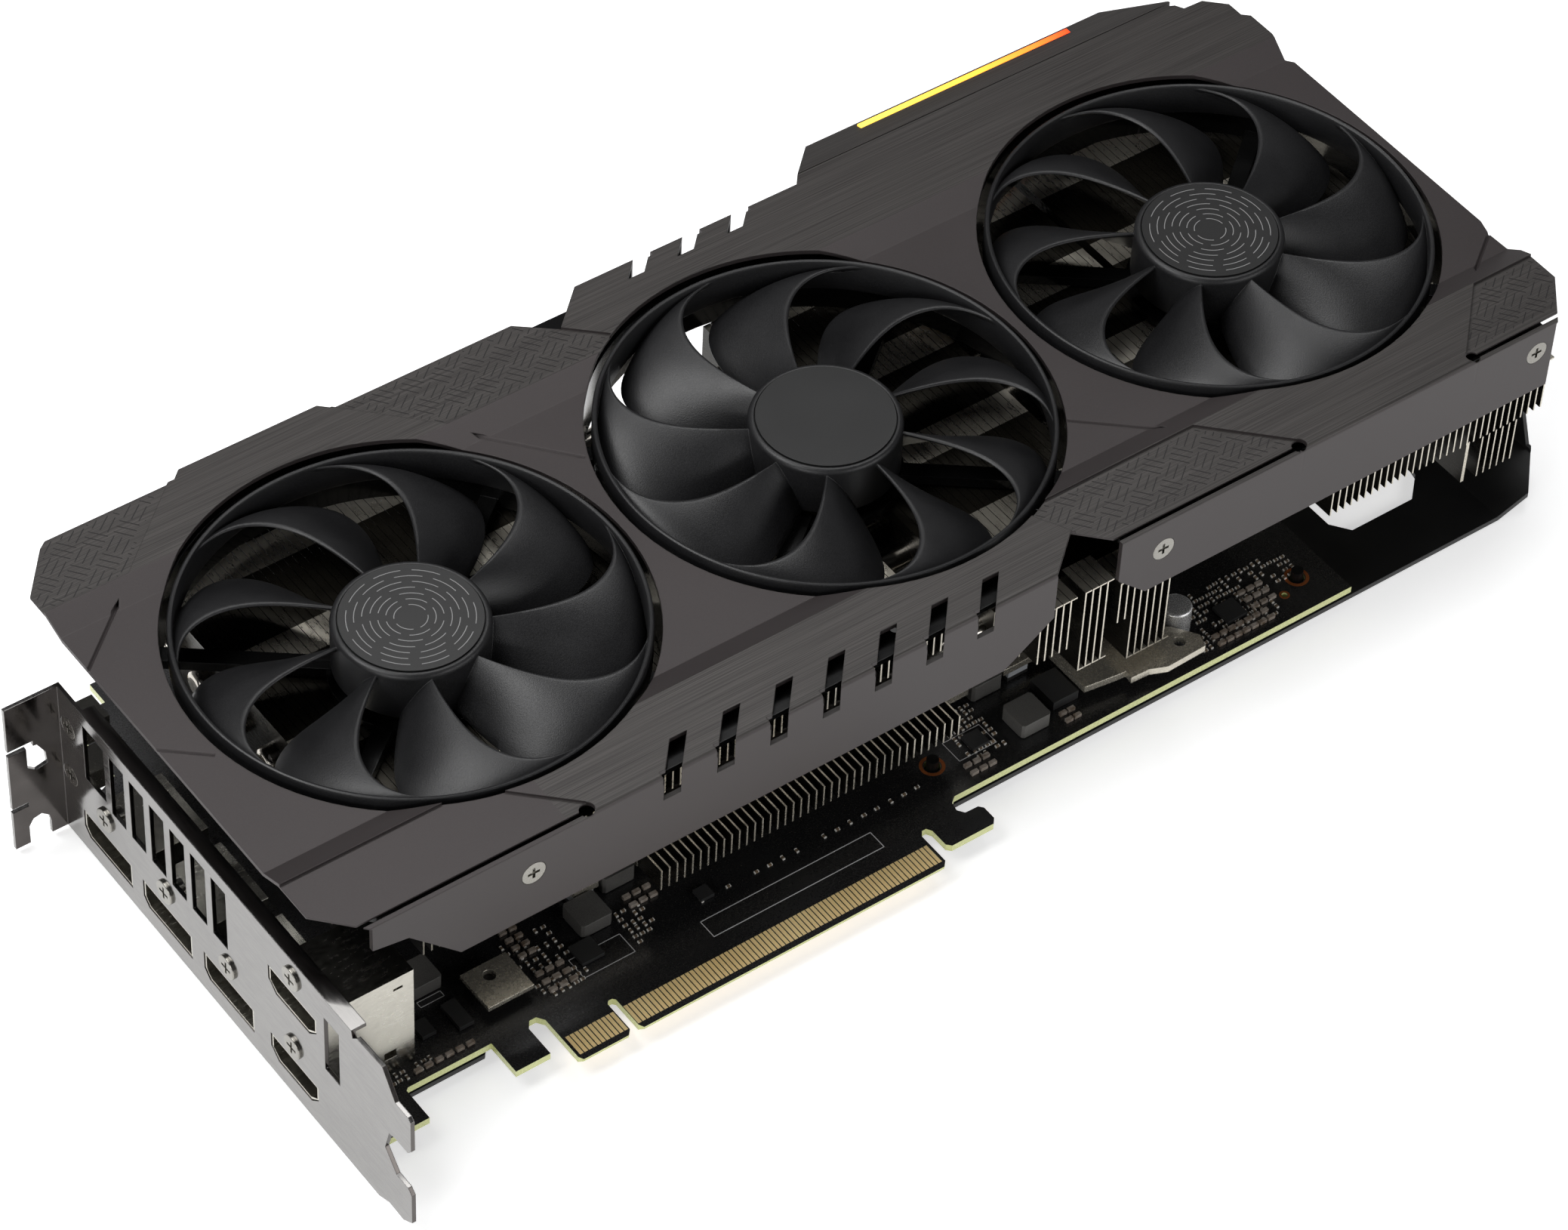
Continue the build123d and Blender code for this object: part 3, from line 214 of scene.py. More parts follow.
# ---- circuit board ----
# A 1.6 mm glass-epoxy board under black solder mask. Its cut edge shows pale yellow-green, and the
# contact edge, hook tab and key notch are cut out of the same sheet.
def board_finish():
    """Black mask on the faces, bare laminate on the cut edges."""
    material = finish("solder_mask", (0.006, 0.006, 0.0065), (0.014, 0.014, 0.014), (0.22, 0.34), grain=2500,
                      bump=0.05, coat=0.3)
    nodes, links = material.node_tree.nodes, material.node_tree.links
    shader = nodes["Principled BSDF"]
    where = nodes.new("ShaderNodeNewGeometry")
    split = nodes.new("ShaderNodeSeparateXYZ")
    upright = nodes.new("ShaderNodeMath")
    upright.operation = "ABSOLUTE"
    side = nodes.new("ShaderNodeMath")
    side.operation = "LESS_THAN"
    side.inputs[1].default_value = 0.5
    links.new(where.outputs["True Normal"], split.inputs[0])
    links.new(split.outputs["Z"], upright.inputs[0])
    links.new(upright.outputs[0], side.inputs[0])
    fibres = noise(nodes, links, 3000, 2, (0.2, 0.2, 3))
    laminate = nodes.new("ShaderNodeValToRGB")
    laminate.color_ramp.elements[0].color = (0.42, 0.46, 0.16, 1)
    laminate.color_ramp.elements[1].color = (0.72, 0.74, 0.36, 1)
    links.new(fibres, laminate.inputs["Fac"])
    chooser = nodes.new("ShaderNodeMix")
    chooser.data_type = "RGBA"
    links.new(side.outputs[0], chooser.inputs["Factor"])
    links.new(shader.inputs["Base Color"].links[0].from_socket, chooser.inputs["A"])
    links.new(laminate.outputs["Color"], chooser.inputs["B"])
    links.new(chooser.outputs["Result"], shader.inputs["Base Color"])
    return material


solder_mask = board_finish()
for board in ("circuit_board", "light_board", "fan_motor_boards"):
    dress(board, solder_mask)
gold = finish("gold_plate", (0.86, 0.62, 0.26), (1.0, 0.80, 0.42), (0.30, 0.42), metal=0.3, grain=6000,
              bump=0.05, stretch=(4, 0.5, 1))
for contact in ("edge_contacts", "bridge_contacts", "power_pins"):
    dress(contact, gold)


def flat_shapes(name, loops, z, thickness, material, body):
    """Thin printed or plated shapes lying on a face: each loop is an outline in card millimetres."""
    made = bmesh.new()
    for loop in loops:
        low = [made.verts.new(card(x, y, z)) for x, y in loop]
        high = [made.verts.new(card(x, y, z + thickness)) for x, y in loop]
        made.faces.new(high)
        made.faces.new(list(reversed(low)))
        for i in range(len(loop)):
            j = (i + 1) % len(loop)
            made.faces.new((low[i], low[j], high[j], high[i]))
    mesh = bpy.data.meshes.new(name)
    made.normal_update()
    made.to_mesh(mesh)
    made.free()
    mesh.materials.append(material)
    piece = bpy.data.objects.new(name, mesh)
    bpy.context.scene.collection.objects.link(piece)
    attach(piece, body)
    return piece


def line(x0, y0, x1, y1, width):
    """The outline of a printed line."""
    along = Vector((x1 - x0, y1 - y0)).normalized() * width / 2
    side = Vector((-along.y, along.x))
    return [(x0 - side.x, y0 - side.y), (x1 - side.x, y1 - side.y),
            (x1 + side.x, y1 + side.y), (x0 + side.x, y0 + side.y)]


def frame_lines(x0, x1, y0, y1, width):
    """The four printed lines of a box."""
    return [line(x0, y0, x1, y0, width), line(x1, y0, x1, y1, width),
            line(x1, y1, x0, y1, width), line(x0, y1, x0, y0, width)]


silk = finish("silk_ink", (0.5, 0.5, 0.5), (0.7, 0.7, 0.7), (0.6, 0.75), grain=4000, bump=0.02)
silk_loops = frame_lines(83.6, 123.6, 10.2, 14.6, 0.18) + frame_lines(57.7, 69.3, 15.6, 20.8, 0.16)
silk_loops += frame_lines(28.6, 33.8, 26.8, 28.2, 0.14) + frame_lines(149.0, 158.0, 19.6, 25.2, 0.14)
flat_shapes("printed_lines", silk_loops, 0.001, 0.02, silk, "card")


def wedge(x, y, inner, outer, a, b):
    """One flat wedge of a ring, between two angles."""
    corners = ((inner, a), (outer, a), (outer, b), (inner, b))
    return [(x + radius * math.cos(angle), y + radius * math.sin(angle)) for radius, angle in corners]


def annulus(x, y, inner, outer, parts=40):
    """Wedges of a flat ring."""
    turn = 2 * math.pi / parts
    return [wedge(x, y, inner, outer, turn * i, turn * (i + 1)) for i in range(parts)]


copper = finish("bare_copper", (0.35, 0.09, 0.02), (0.5, 0.16, 0.05), (0.3, 0.5), metal=0.7, grain=5000,
                bump=0.05)
HOLE_RINGS = [(143.8, 21.6, 1.9, 2.6), (235.5, 21.2, 1.9, 2.6), (230.3, 18.7, 0.7, 1.1)]
ring_loops = [loop for ring in HOLE_RINGS for loop in annulus(*ring)]
flat_shapes("hole_rings", ring_loops, 0.001, 0.03, copper, "card")


# ---- parts soldered to the board ----
# Moulded chips, pressed-powder chokes, can capacitors and tiny ceramic capacitors, all reflowed on.
moulding = finish("moulding_compound", (0.012, 0.012, 0.012), (0.03, 0.03, 0.03), (0.45, 0.62), grain=7000,
                  bump=0.2, edge=0.0001)
for chip in ("memory_chips", "power_stages", "control_chips", "shunt_resistor"):
    dress(chip, moulding)
dress("gpu_package", finish("package_laminate", (0.02, 0.05, 0.03), (0.03, 0.07, 0.04), (0.4, 0.5),
                            grain=3000))
dress("gpu_die", finish("silicon", (0.05, 0.05, 0.06), (0.09, 0.09, 0.1), (0.08, 0.15), grain=500, bump=0.01))
dress("chokes", finish("pressed_powder", (0.07, 0.068, 0.064), (0.18, 0.175, 0.165), (0.35, 0.5), metal=0.3,
                       grain=9000, bump=0.3, edge=0.0002))
dress("can_capacitors", finish("can_metal", (0.62, 0.62, 0.62), (0.8, 0.8, 0.8), (0.2, 0.35), metal=0.7,
                               grain=5000, bump=0.06, edge=0.0002))
dress("chip_capacitors", finish("ceramic", (0.13, 0.08, 0.04), (0.55, 0.5, 0.45), (0.3, 0.5), metal=0.3,
                                grain=900, bump=0.1))
socket_plastic = finish("socket_nylon", (0.008, 0.008, 0.008), (0.022, 0.022, 0.022), (0.4, 0.6), grain=6000,
                        bump=0.15, edge=0.0001)
for socket in ("power_sockets", "fan_sockets", "firmware_switch_body", "displayport_tongues", "hdmi_tongues"):
    dress(socket, socket_plastic)
dress("firmware_switch_slider", finish("switch_plastic", (0.6, 0.6, 0.58), (0.75, 0.75, 0.73), (0.35, 0.5),
                                       grain=4000))
for pad in ("thermal_pads", "thermal_paste"):
    dress(pad, finish("silicone_pad", (0.3, 0.31, 0.33), (0.4, 0.42, 0.44), (0.7, 0.9), grain=3000, bump=0.2))


def box_into(made, x0, x1, y0, y1, z0, z1):
    """Adds a closed box in card millimetres."""
    outline = ((x0, y0), (x1, y0), (x1, y1), (x0, y1))
    corners = [made.verts.new(card(x, y, z)) for z in (z0, z1) for x, y in outline]
    for a, b, c, d in ((3, 2, 1, 0), (4, 5, 6, 7), (0, 1, 5, 4), (1, 2, 6, 5), (2, 3, 7, 6), (3, 0, 4, 7)):
        made.faces.new((corners[a], corners[b], corners[c], corners[d]))


def boxes(name, sizes, material, body):
    """One piece made of many small boxes."""
    made = bmesh.new()
    for size in sizes:
        box_into(made, *size)
    mesh = bpy.data.meshes.new(name)
    made.normal_update()
    made.to_mesh(mesh)
    made.free()
    mesh.materials.append(material)
    piece = bpy.data.objects.new(name, mesh)
    bpy.context.scene.collection.objects.link(piece)
    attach(piece, body)
    return piece


def scatter(seed):
    """A repeatable number between 0 and 1."""
    return (math.sin(seed * 12.9898) * 43758.5453) % 1.0


# Each field of chips is x0, x1, y0, y1 and its pitch, in card millimetres.
CHIP_FIELDS = [(150.6, 159.6, 17.6, 30.5, 1.5), (206.5, 228.0, 14.8, 19.6, 1.5),
               (210.0, 238.0, 21.5, 29.0, 1.6), (48.5, 60.0, 14.6, 19.0, 1.6),
               (70.5, 77.0, 16.0, 24.5, 1.6), (44.0, 60.0, 21.5, 30.0, 1.9),
               (12.0, 24.0, 13.5, 15.2, 1.5), (85.0, 140.0, 17.0, 18.6, 3.2)]
CHIP_HALF_LENGTH, CHIP_HALF_WIDTH = 0.5, 0.26
CHIP_FOOT, CHIP_TOP, CHIP_END_TOP = 0.002, 0.34, 0.36
CHIP_GAPS = 0.28
bodies_of_chips, ends_of_chips = [], []
for field, (x0, x1, y0, y1, pitch) in enumerate(CHIP_FIELDS):
    for i in range(int((x1 - x0) / pitch)):
        for j in range(int((y1 - y0) / pitch) + 1):
            seed = field * 1000 + i * 40 + j
            if scatter(seed) < CHIP_GAPS:
                continue
            x = x0 + (i + 0.5) * pitch + 0.2 * scatter(seed + 0.3)
            y = y0 + (j + 0.5) * pitch + 0.2 * scatter(seed + 0.6)
            half, thin = CHIP_HALF_LENGTH, CHIP_HALF_WIDTH
            lengths = (-half + 0.2, half - 0.2), (-half, -half + 0.19), (half - 0.19, half)
            if scatter(seed + 0.9) > 0.5:
                body, *ends = [(x + a, x + b, y - thin, y + thin) for a, b in lengths]
            else:
                body, *ends = [(x - thin, x + thin, y + a, y + b) for a, b in lengths]
            bodies_of_chips.append((*body, CHIP_FOOT, CHIP_TOP))
            ends_of_chips += [(*end, CHIP_FOOT, CHIP_END_TOP) for end in ends]
tiny_ceramic = finish("tiny_ceramic", (0.02, 0.018, 0.016), (0.30, 0.22, 0.14), (0.35, 0.5), grain=700)
boxes("tiny_chip_bodies", bodies_of_chips, tiny_ceramic, "card")
solder = finish("solder", (0.85, 0.83, 0.78), (1.0, 0.98, 0.92), (0.2, 0.35), metal=0.25, grain=4000,
                bump=0.1)
boxes("tiny_chip_ends", ends_of_chips, solder, "card")


# ---- display sockets ----
# Folded tin-plated steel shells behind the bracket, each with a black tongue inside.
tin = finish("tin_plate", (0.46, 0.44, 0.39), (0.58, 0.56, 0.50), (0.16, 0.30), metal=1.0, grain=1500,
             bump=0.01, stretch=(0.4, 1, 1), edge=0.00012)
for shell in ("displayport_shells", "hdmi_shell"):
    dress(shell, tin)


# ---- cooler ----
# Nickel-plated fins stand across the card on eight heat pipes; a stamped plate lies round the cold plate.
fin_metal = finish("fin_nickel", (0.56, 0.52, 0.44), (0.74, 0.70, 0.60), (0.22, 0.36), metal=0.75, grain=1500,
                   bump=0.02, stretch=(1, 0.3, 1))


def darken_sides(material, axis, dark, light):
    """Paints shade on the faces turned towards an axis, in a mottled dark colour."""
    nodes, links = material.node_tree.nodes, material.node_tree.links
    shader = nodes["Principled BSDF"]
    where = nodes.new("ShaderNodeNewGeometry")
    split = nodes.new("ShaderNodeSeparateXYZ")
    size = nodes.new("ShaderNodeMath")
    size.operation = "ABSOLUTE"
    turned = nodes.new("ShaderNodeMath")
    turned.operation = "GREATER_THAN"
    turned.inputs[1].default_value = 0.7
    links.new(where.outputs["True Normal"], split.inputs[0])
    links.new(split.outputs[axis], size.inputs[0])
    links.new(size.outputs[0], turned.inputs[0])
    shade = nodes.new("ShaderNodeValToRGB")
    shade.color_ramp.elements[0].color = (*dark, 1)
    shade.color_ramp.elements[1].color = (*light, 1)
    links.new(noise(nodes, links, 120, 2), shade.inputs["Fac"])
    chooser = nodes.new("ShaderNodeMix")
    chooser.data_type = "RGBA"
    links.new(turned.outputs[0], chooser.inputs["Factor"])
    links.new(shader.inputs["Base Color"].links[0].from_socket, chooser.inputs["A"])
    links.new(shade.outputs["Color"], chooser.inputs["B"])
    links.new(chooser.outputs["Result"], shader.inputs["Base Color"])


# Painted shade on the fins' broad sides, where neighbouring sheets shut out the light.
darken_sides(fin_metal, "X", (0.012, 0.011, 0.009), (0.035, 0.032, 0.026))


def shade_tops(material, dark, light):
    """Most of the folded tops lie in the fans' shade, with brighter bars between the pipe rows."""
    nodes, links = material.node_tree.nodes, material.node_tree.links
    shader = nodes["Principled BSDF"]
    where = nodes.new("ShaderNodeNewGeometry")
    facing, placed = nodes.new("ShaderNodeSeparateXYZ"), nodes.new("ShaderNodeSeparateXYZ")
    links.new(where.outputs["True Normal"], facing.inputs[0])
    links.new(where.outputs["Position"], placed.inputs[0])
    upward, past_front = nodes.new("ShaderNodeMath"), nodes.new("ShaderNodeMath")
    front_edge = card(0, 26.0, 0).y
    for test, socket, limit in ((upward, facing.outputs["Z"], 0.7),
                                (past_front, placed.outputs["Y"], front_edge)):
        test.operation = "GREATER_THAN"
        test.inputs[1].default_value = limit
        links.new(socket, test.inputs[0])
    wave = nodes.new("ShaderNodeMath")
    wave.operation = "SINE"
    phase = nodes.new("ShaderNodeMath")
    phase.operation = "MULTIPLY"
    phase.inputs[1].default_value = 2 * math.pi / (24.0 * MM)
    links.new(placed.outputs["Y"], phase.inputs[0])
    links.new(phase.outputs[0], wave.inputs[0])
    valley = nodes.new("ShaderNodeMath")
    valley.operation = "LESS_THAN"
    valley.inputs[1].default_value = 0.55
    links.new(wave.outputs[0], valley.inputs[0])
    first, second = nodes.new("ShaderNodeMath"), nodes.new("ShaderNodeMath")
    first.operation = second.operation = "MULTIPLY"
    links.new(upward.outputs[0], first.inputs[0])
    links.new(past_front.outputs[0], first.inputs[1])
    links.new(first.outputs[0], second.inputs[0])
    links.new(valley.outputs[0], second.inputs[1])
    shade = nodes.new("ShaderNodeValToRGB")
    shade.color_ramp.elements[0].color = (*dark, 1)
    shade.color_ramp.elements[1].color = (*light, 1)
    links.new(noise(nodes, links, 200, 2), shade.inputs["Fac"])
    chooser = nodes.new("ShaderNodeMix")
    chooser.data_type = "RGBA"
    links.new(second.outputs[0], chooser.inputs["Factor"])
    links.new(shader.inputs["Base Color"].links[0].from_socket, chooser.inputs["A"])
    links.new(shade.outputs["Color"], chooser.inputs["B"])
    links.new(chooser.outputs["Result"], shader.inputs["Base Color"])


shade_tops(fin_metal, (0.02, 0.018, 0.014), (0.05, 0.045, 0.035))
for fins in ("fins_front", "fins_middle", "fins_rear"):
    dress(fins, fin_metal)
pipe_metal = finish("pipe_nickel", (0.45, 0.42, 0.37), (0.6, 0.57, 0.52), (0.12, 0.25), metal=1.0, grain=2500,
                    bump=0.04, stretch=(0.2, 1, 1))
for pipe in ("heat_pipes", "base_pipes"):
    dress(pipe, pipe_metal)
plate_metal = finish("plate_nickel", (0.55, 0.51, 0.43), (0.72, 0.68, 0.58), (0.18, 0.32), metal=0.8,
                     grain=1500, bump=0.01, edge=0.0002)
for plate in ("cold_plate", "frame_plate"):
    dress(plate, plate_metal)


# ---- backplate and its fasteners ----
# Black anodised sheet with a turned-up tail and air openings behind the last fan.
dress("backplate", finish("anodised_black", (0.008, 0.008, 0.0085), (0.02, 0.02, 0.02), (0.32, 0.46),
                          metal=0.3, grain=9000, bump=0.12, edge=0.0002))
screw_metal = finish("zinc_screw", (0.22, 0.21, 0.19), (0.36, 0.35, 0.32), (0.16, 0.3), metal=1.0, grain=4000,
                     bump=0.08, edge=0.00015)
for screw in ("bracket_screws", "bracket_posts", "retention_cross", "retention_screws", "retention_springs",
              "side_screws"):
    dress(screw, screw_metal)
dress("backplate_screws", finish("black_oxide", (0.012, 0.012, 0.012), (0.03, 0.03, 0.03), (0.3, 0.45),
                                 metal=0.8, grain=4000))


# ---- fan frame and motors ----
# A black moulded duct with four struts to each motor; laminated cores and ball bearings inside.
duct_plastic = finish("duct_plastic", (0.003, 0.003, 0.003), (0.007, 0.007, 0.007), (0.12, 0.24), grain=7000,
                      bump=0.04, edge=0.0002)
dress("fan_frame", duct_plastic)
dress("fan_stators", finish("laminations", (0.2, 0.19, 0.17), (0.36, 0.34, 0.3), (0.35, 0.5), metal=0.9,
                            grain=3000, stretch=(0.3, 0.3, 5)))
ground_steel = finish("ground_steel", (0.4, 0.4, 0.4), (0.55, 0.55, 0.55), (0.2, 0.3), metal=1.0, grain=5000)
dress("fan_bearings", ground_steel)
for number in (1, 2, 3):
    dress(f"fan_shaft_{number}", ground_steel)
    dress(f"fan_magnet_{number}", finish("ferrite", (0.02, 0.02, 0.02), (0.045, 0.042, 0.04), (0.6, 0.8),
                                         grain=4000, bump=0.3))


# ---- fans ----
# Each fan is one black moulding: a hub with a rounded shoulder, nine swept blades whose leading edges
# run out along the ring, and the ring itself. The middle fan is swept the other way.
FAN_BLADES = 9
HUB_RADIUS = 15.25
RING_OUTER = 45.4
RING_INNER = 44.3
BLADE_ROOT, BLADE_TIP = 14.6, 44.7
LENGTH_STEPS, CHORD_STEPS = 34, 22
HUB_STEPS, RING_STEPS = 144, 216
FAN_PHASES = {1: 12.0, 2: 33.8, 3: 25.3}


def blade_sweep(share):
    """How far, in degrees, the leading edge has turned at a share of the blade's length."""
    return 10.5 * share + 14.0 * share ** 4.5 + 8.0 * share ** 26


def blade_point(share, chord, side):
    """A point on the upper (+1) or lower (-1) skin: share runs hub to tip, chord leading to trailing."""
    radius = BLADE_ROOT + (BLADE_TIP - BLADE_ROOT) * share
    wrap = 24.0 + 7.0 * share
    angle = math.radians(blade_sweep(share) - wrap * chord)
    top = 44.75 + 0.35 * share
    low = 35.2 + 1.8 * share
    fall = 0.35 * chord + 0.65 * chord ** 1.8
    height = top - (top - low) * fall
    thickness = 0.62 - 0.12 * share
    nose = min(1.0, math.sqrt(chord / 0.05))
    tail = min(1.0, (1.0 - chord) / 0.12 + 0.25)
    lift = side * thickness * nose * tail
    tilt = 0.55 + 0.45 * (1 - chord)
    return Vector((radius * math.cos(angle), radius * math.sin(angle),
                   height + lift * tilt - thickness * 0.4))


def add_tube(made, rows):
    """Joins closed rows of points into a quad surface."""
    grid = [[made.verts.new(point) for point in row] for row in rows]
    for a, b in zip(grid, grid[1:]):
        for i in range(len(a)):
            j = (i + 1) % len(a)
            made.faces.new((a[i], a[j], b[j], b[i]))
    return grid


def lathe(made, profile, steps):
    """Turns a closed profile of (radius, height) about the upright axis."""
    grid = []
    for i in range(steps):
        angle = 2 * math.pi * i / steps
        grid.append([made.verts.new((r * math.cos(angle), r * math.sin(angle), z)) for r, z in profile])
    for i in range(steps):
        a, b = grid[i], grid[(i + 1) % steps]
        for k in range(len(profile)):
            m = (k + 1) % len(profile)
            made.faces.new((a[k], b[k], b[m], a[m]))


def fan_mesh(name, mirrored):
    """The whole moulding about its own axis, in millimetres above the board."""
    made = bmesh.new()
    hub = [(13.9, 34.8), (14.9, 34.6), (HUB_RADIUS, 35.0), (HUB_RADIUS, 44.9), (15.05, 45.6), (14.6, 45.98),
           (14.2, 46.08), (13.95, 46.0), (13.84, 45.76), (1.1, 45.76), (1.1, 44.0), (13.9, 44.0)]
    lathe(made, hub, HUB_STEPS)
    rim = [(RING_INNER + 0.25, 38.5), (RING_OUTER - 0.2, 38.4), (RING_OUTER, 38.7), (RING_OUTER, 45.3),
           (RING_OUTER - 0.15, 45.7), (RING_OUTER - 0.45, 45.86), (RING_INNER + 0.2, 45.7),
           (RING_INNER, 45.3), (RING_INNER, 39.0)]
    lathe(made, rim, RING_STEPS)
    lengths = [1 - (1 - i / LENGTH_STEPS) ** 1.5 for i in range(LENGTH_STEPS + 1)]
    chords = [(i / CHORD_STEPS) ** 1.5 for i in range(CHORD_STEPS + 1)]
    for k in range(FAN_BLADES):
        turn = Matrix.Rotation(math.radians(k * 360 / FAN_BLADES), 3, "Z")
        rows = []
        for share in lengths:
            upper = [turn @ blade_point(share, chord, 1) for chord in chords]
            lower = [turn @ blade_point(share, chord, -1) for chord in reversed(chords)]
            rows.append(upper + lower)
        grid = add_tube(made, rows)
        made.faces.new(list(reversed(grid[0])))
        made.faces.new(grid[-1])
    if mirrored:
        for vertex in made.verts:
            vertex.co.y = -vertex.co.y
    bmesh.ops.recalc_face_normals(made, faces=made.faces)
    for face in made.faces:
        face.smooth = True
    mesh = bpy.data.meshes.new(name)
    made.to_mesh(mesh)
    made.free()
    return mesh


def place_mesh(name, mesh, centre, turn_degrees, material, body, *stood_for):
    """Puts a mesh drawn in millimetres on an upright axis and hangs it on a body."""
    mesh.transform(Matrix.Rotation(math.radians(turn_degrees), 4, "Z"))
    mesh.transform(Matrix.Scale(MM, 4))
    mesh.transform(Matrix.Translation(Vector((centre.x, centre.y, ZERO.z))))
    mesh.materials.append(material)
    piece = bpy.data.objects.new(name, mesh)
    bpy.context.scene.collection.objects.link(piece)
    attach(piece, body)
    if stood_for:
        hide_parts(*stood_for)
    return piece


blade_plastic = finish("blade_plastic", (0.005, 0.005, 0.0055), (0.012, 0.012, 0.013), (0.36, 0.5),
                       grain=3600, bump=0.7, blotch=90, edge=0.0002)
for number in (1, 2, 3):
    low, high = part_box(f"fan_rotor_{number}")
    mesh = fan_mesh(f"fan_moulding_{number}", number == 2)
    piece = place_mesh(f"fan_moulding_{number}", mesh, (low + high) / 2, FAN_PHASES[number], blade_plastic,
                       f"fan_{number}", f"fan_rotor_{number}")
    piece.data.set_sharp_from_angle(angle=math.radians(40))


# ---- hub caps ----
# Thin satin discs pressed into the hubs. The outer two carry a fine grey ring pattern, and the middle
# one is plain.
cap_finish = finish("cap_satin", (0.007, 0.007, 0.007), (0.013, 0.013, 0.013), (0.34, 0.46), grain=6000,
                    bump=0.08, edge=0.0001)
for number in (1, 2, 3):
    dress(f"fan_cap_{number}", cap_finish)


def arc_loops(radius, start, stop, width):
    """A thin arc as a run of short flat wedges about the origin."""
    parts = max(2, int((stop - start) / 6))
    bounds = [math.radians(start + (stop - start) * i / parts) for i in range(parts + 1)]
    return [wedge(0, 0, radius - width / 2, radius + width / 2, a, b) for a, b in zip(bounds, bounds[1:])]


CAP_RINGS = 7
cap_grey = finish("cap_grey_ink", (0.20, 0.20, 0.20), (0.30, 0.30, 0.30), (0.4, 0.55), grain=5000, bump=0.02)
for number in (1, 3):
    low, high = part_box(f"fan_cap_{number}")
    centre = (low + high) / 2 - ZERO
    loops = []
    for ring in range(CAP_RINGS):
        radius = 3.2 + 1.5 * ring
        span = 360 / (4 + ring)
        for part in range(4 + ring):
            loops += arc_loops(radius, part * span + 17 * ring, (part + 0.72) * span + 17 * ring, 0.16)
    shifted = [[(x + centre.x / MM, y + centre.y / MM) for x, y in loop] for loop in loops]
    ink_height = (high.z - ZERO.z) / MM + 0.002
    flat_shapes(f"cap_rings_{number}", shifted, ink_height, 0.015, cap_grey, f"fan_{number}")


# ---- shroud ----
# One folded sheet in dark warm grey: fine matte in the middle, brushed along its length on the raised bands,
# with a fine basket weave pressed into its corner patches.
def shroud_finish():
    """Matte paint, with brushed streaks on the flat tops of the outer bands except the near left corner."""
    material = finish("shroud_paint", (0.036, 0.030, 0.030), (0.052, 0.044, 0.044), (0.40, 0.52), metal=0.35,
                      grain=5200, bump=0.16, blotch=25, edge=0.00025)
    nodes, links = material.node_tree.nodes, material.node_tree.links
    shader = nodes["Principled BSDF"]
    where = nodes.new("ShaderNodeNewGeometry")
    split = nodes.new("ShaderNodeSeparateXYZ")
    links.new(where.outputs["Position"], split.inputs[0])
    centre = nodes.new("ShaderNodeMath")
    centre.operation = "SUBTRACT"
    centre.inputs[1].default_value = card(0, 72.9, 0).y
    outward = nodes.new("ShaderNodeMath")
    outward.operation = "ABSOLUTE"
    band = nodes.new("ShaderNodeMath")
    band.operation = "GREATER_THAN"
    band.inputs[1].default_value = 40.3 * MM
    links.new(split.outputs["Y"], centre.inputs[0])
    links.new(centre.outputs[0], outward.inputs[0])
    links.new(outward.outputs[0], band.inputs[0])
    flat = nodes.new("ShaderNodeSeparateXYZ")
    links.new(where.outputs["True Normal"], flat.inputs[0])
    upward = nodes.new("ShaderNodeMath")
    upward.operation = "GREATER_THAN"
    upward.inputs[1].default_value = 0.6
    links.new(flat.outputs["Z"], upward.inputs[0])
    corner_x = nodes.new("ShaderNodeMath")
    corner_x.operation = "GREATER_THAN"
    corner_x.inputs[1].default_value = card(54, 0, 0).x
    links.new(split.outputs["X"], corner_x.inputs[0])
    far_half = nodes.new("ShaderNodeMath")
    far_half.operation = "GREATER_THAN"
    far_half.inputs[1].default_value = 0.0
    links.new(centre.outputs[0], far_half.inputs[0])
    past_corner = nodes.new("ShaderNodeMath")
    past_corner.operation = "MAXIMUM"
    links.new(corner_x.outputs[0], past_corner.inputs[0])
    links.new(far_half.outputs[0], past_corner.inputs[1])
    top_band = nodes.new("ShaderNodeMath")
    top_band.operation = "MULTIPLY"
    links.new(band.outputs[0], top_band.inputs[0])
    links.new(upward.outputs[0], top_band.inputs[1])
    where_brushed = nodes.new("ShaderNodeMath")
    where_brushed.operation = "MULTIPLY"
    links.new(top_band.outputs[0], where_brushed.inputs[0])
    links.new(past_corner.outputs[0], where_brushed.inputs[1])
    streaks = noise(nodes, links, 5200, 3, (0.006, 1, 1))
    brushed = nodes.new("ShaderNodeValToRGB")
    brushed.color_ramp.elements[0].position = 0.3
    brushed.color_ramp.elements[0].color = (0.026, 0.023, 0.022, 1)
    brushed.color_ramp.elements[1].position = 0.72
    brushed.color_ramp.elements[1].color = (0.074, 0.068, 0.064, 1)
    links.new(streaks, brushed.inputs["Fac"])
    chooser = nodes.new("ShaderNodeMix")
    chooser.data_type = "RGBA"
    links.new(where_brushed.outputs[0], chooser.inputs["Factor"])
    links.new(shader.inputs["Base Color"].links[0].from_socket, chooser.inputs["A"])
    links.new(brushed.outputs["Color"], chooser.inputs["B"])
    links.new(chooser.outputs["Result"], shader.inputs["Base Color"])
    return material


shroud_paint = shroud_finish()
dress("shroud", shroud_paint)
dress("label_housing", shroud_paint)


def inside(outline, x, y):
    """Whether a place lies inside an outline."""
    found = False
    for (x0, y0), (x1, y1) in zip(outline, outline[1:] + outline[:1]):
        if (y0 > y) != (y1 > y) and x < x0 + (y - y0) * (x1 - x0) / (y1 - y0):
            found = not found
    return found


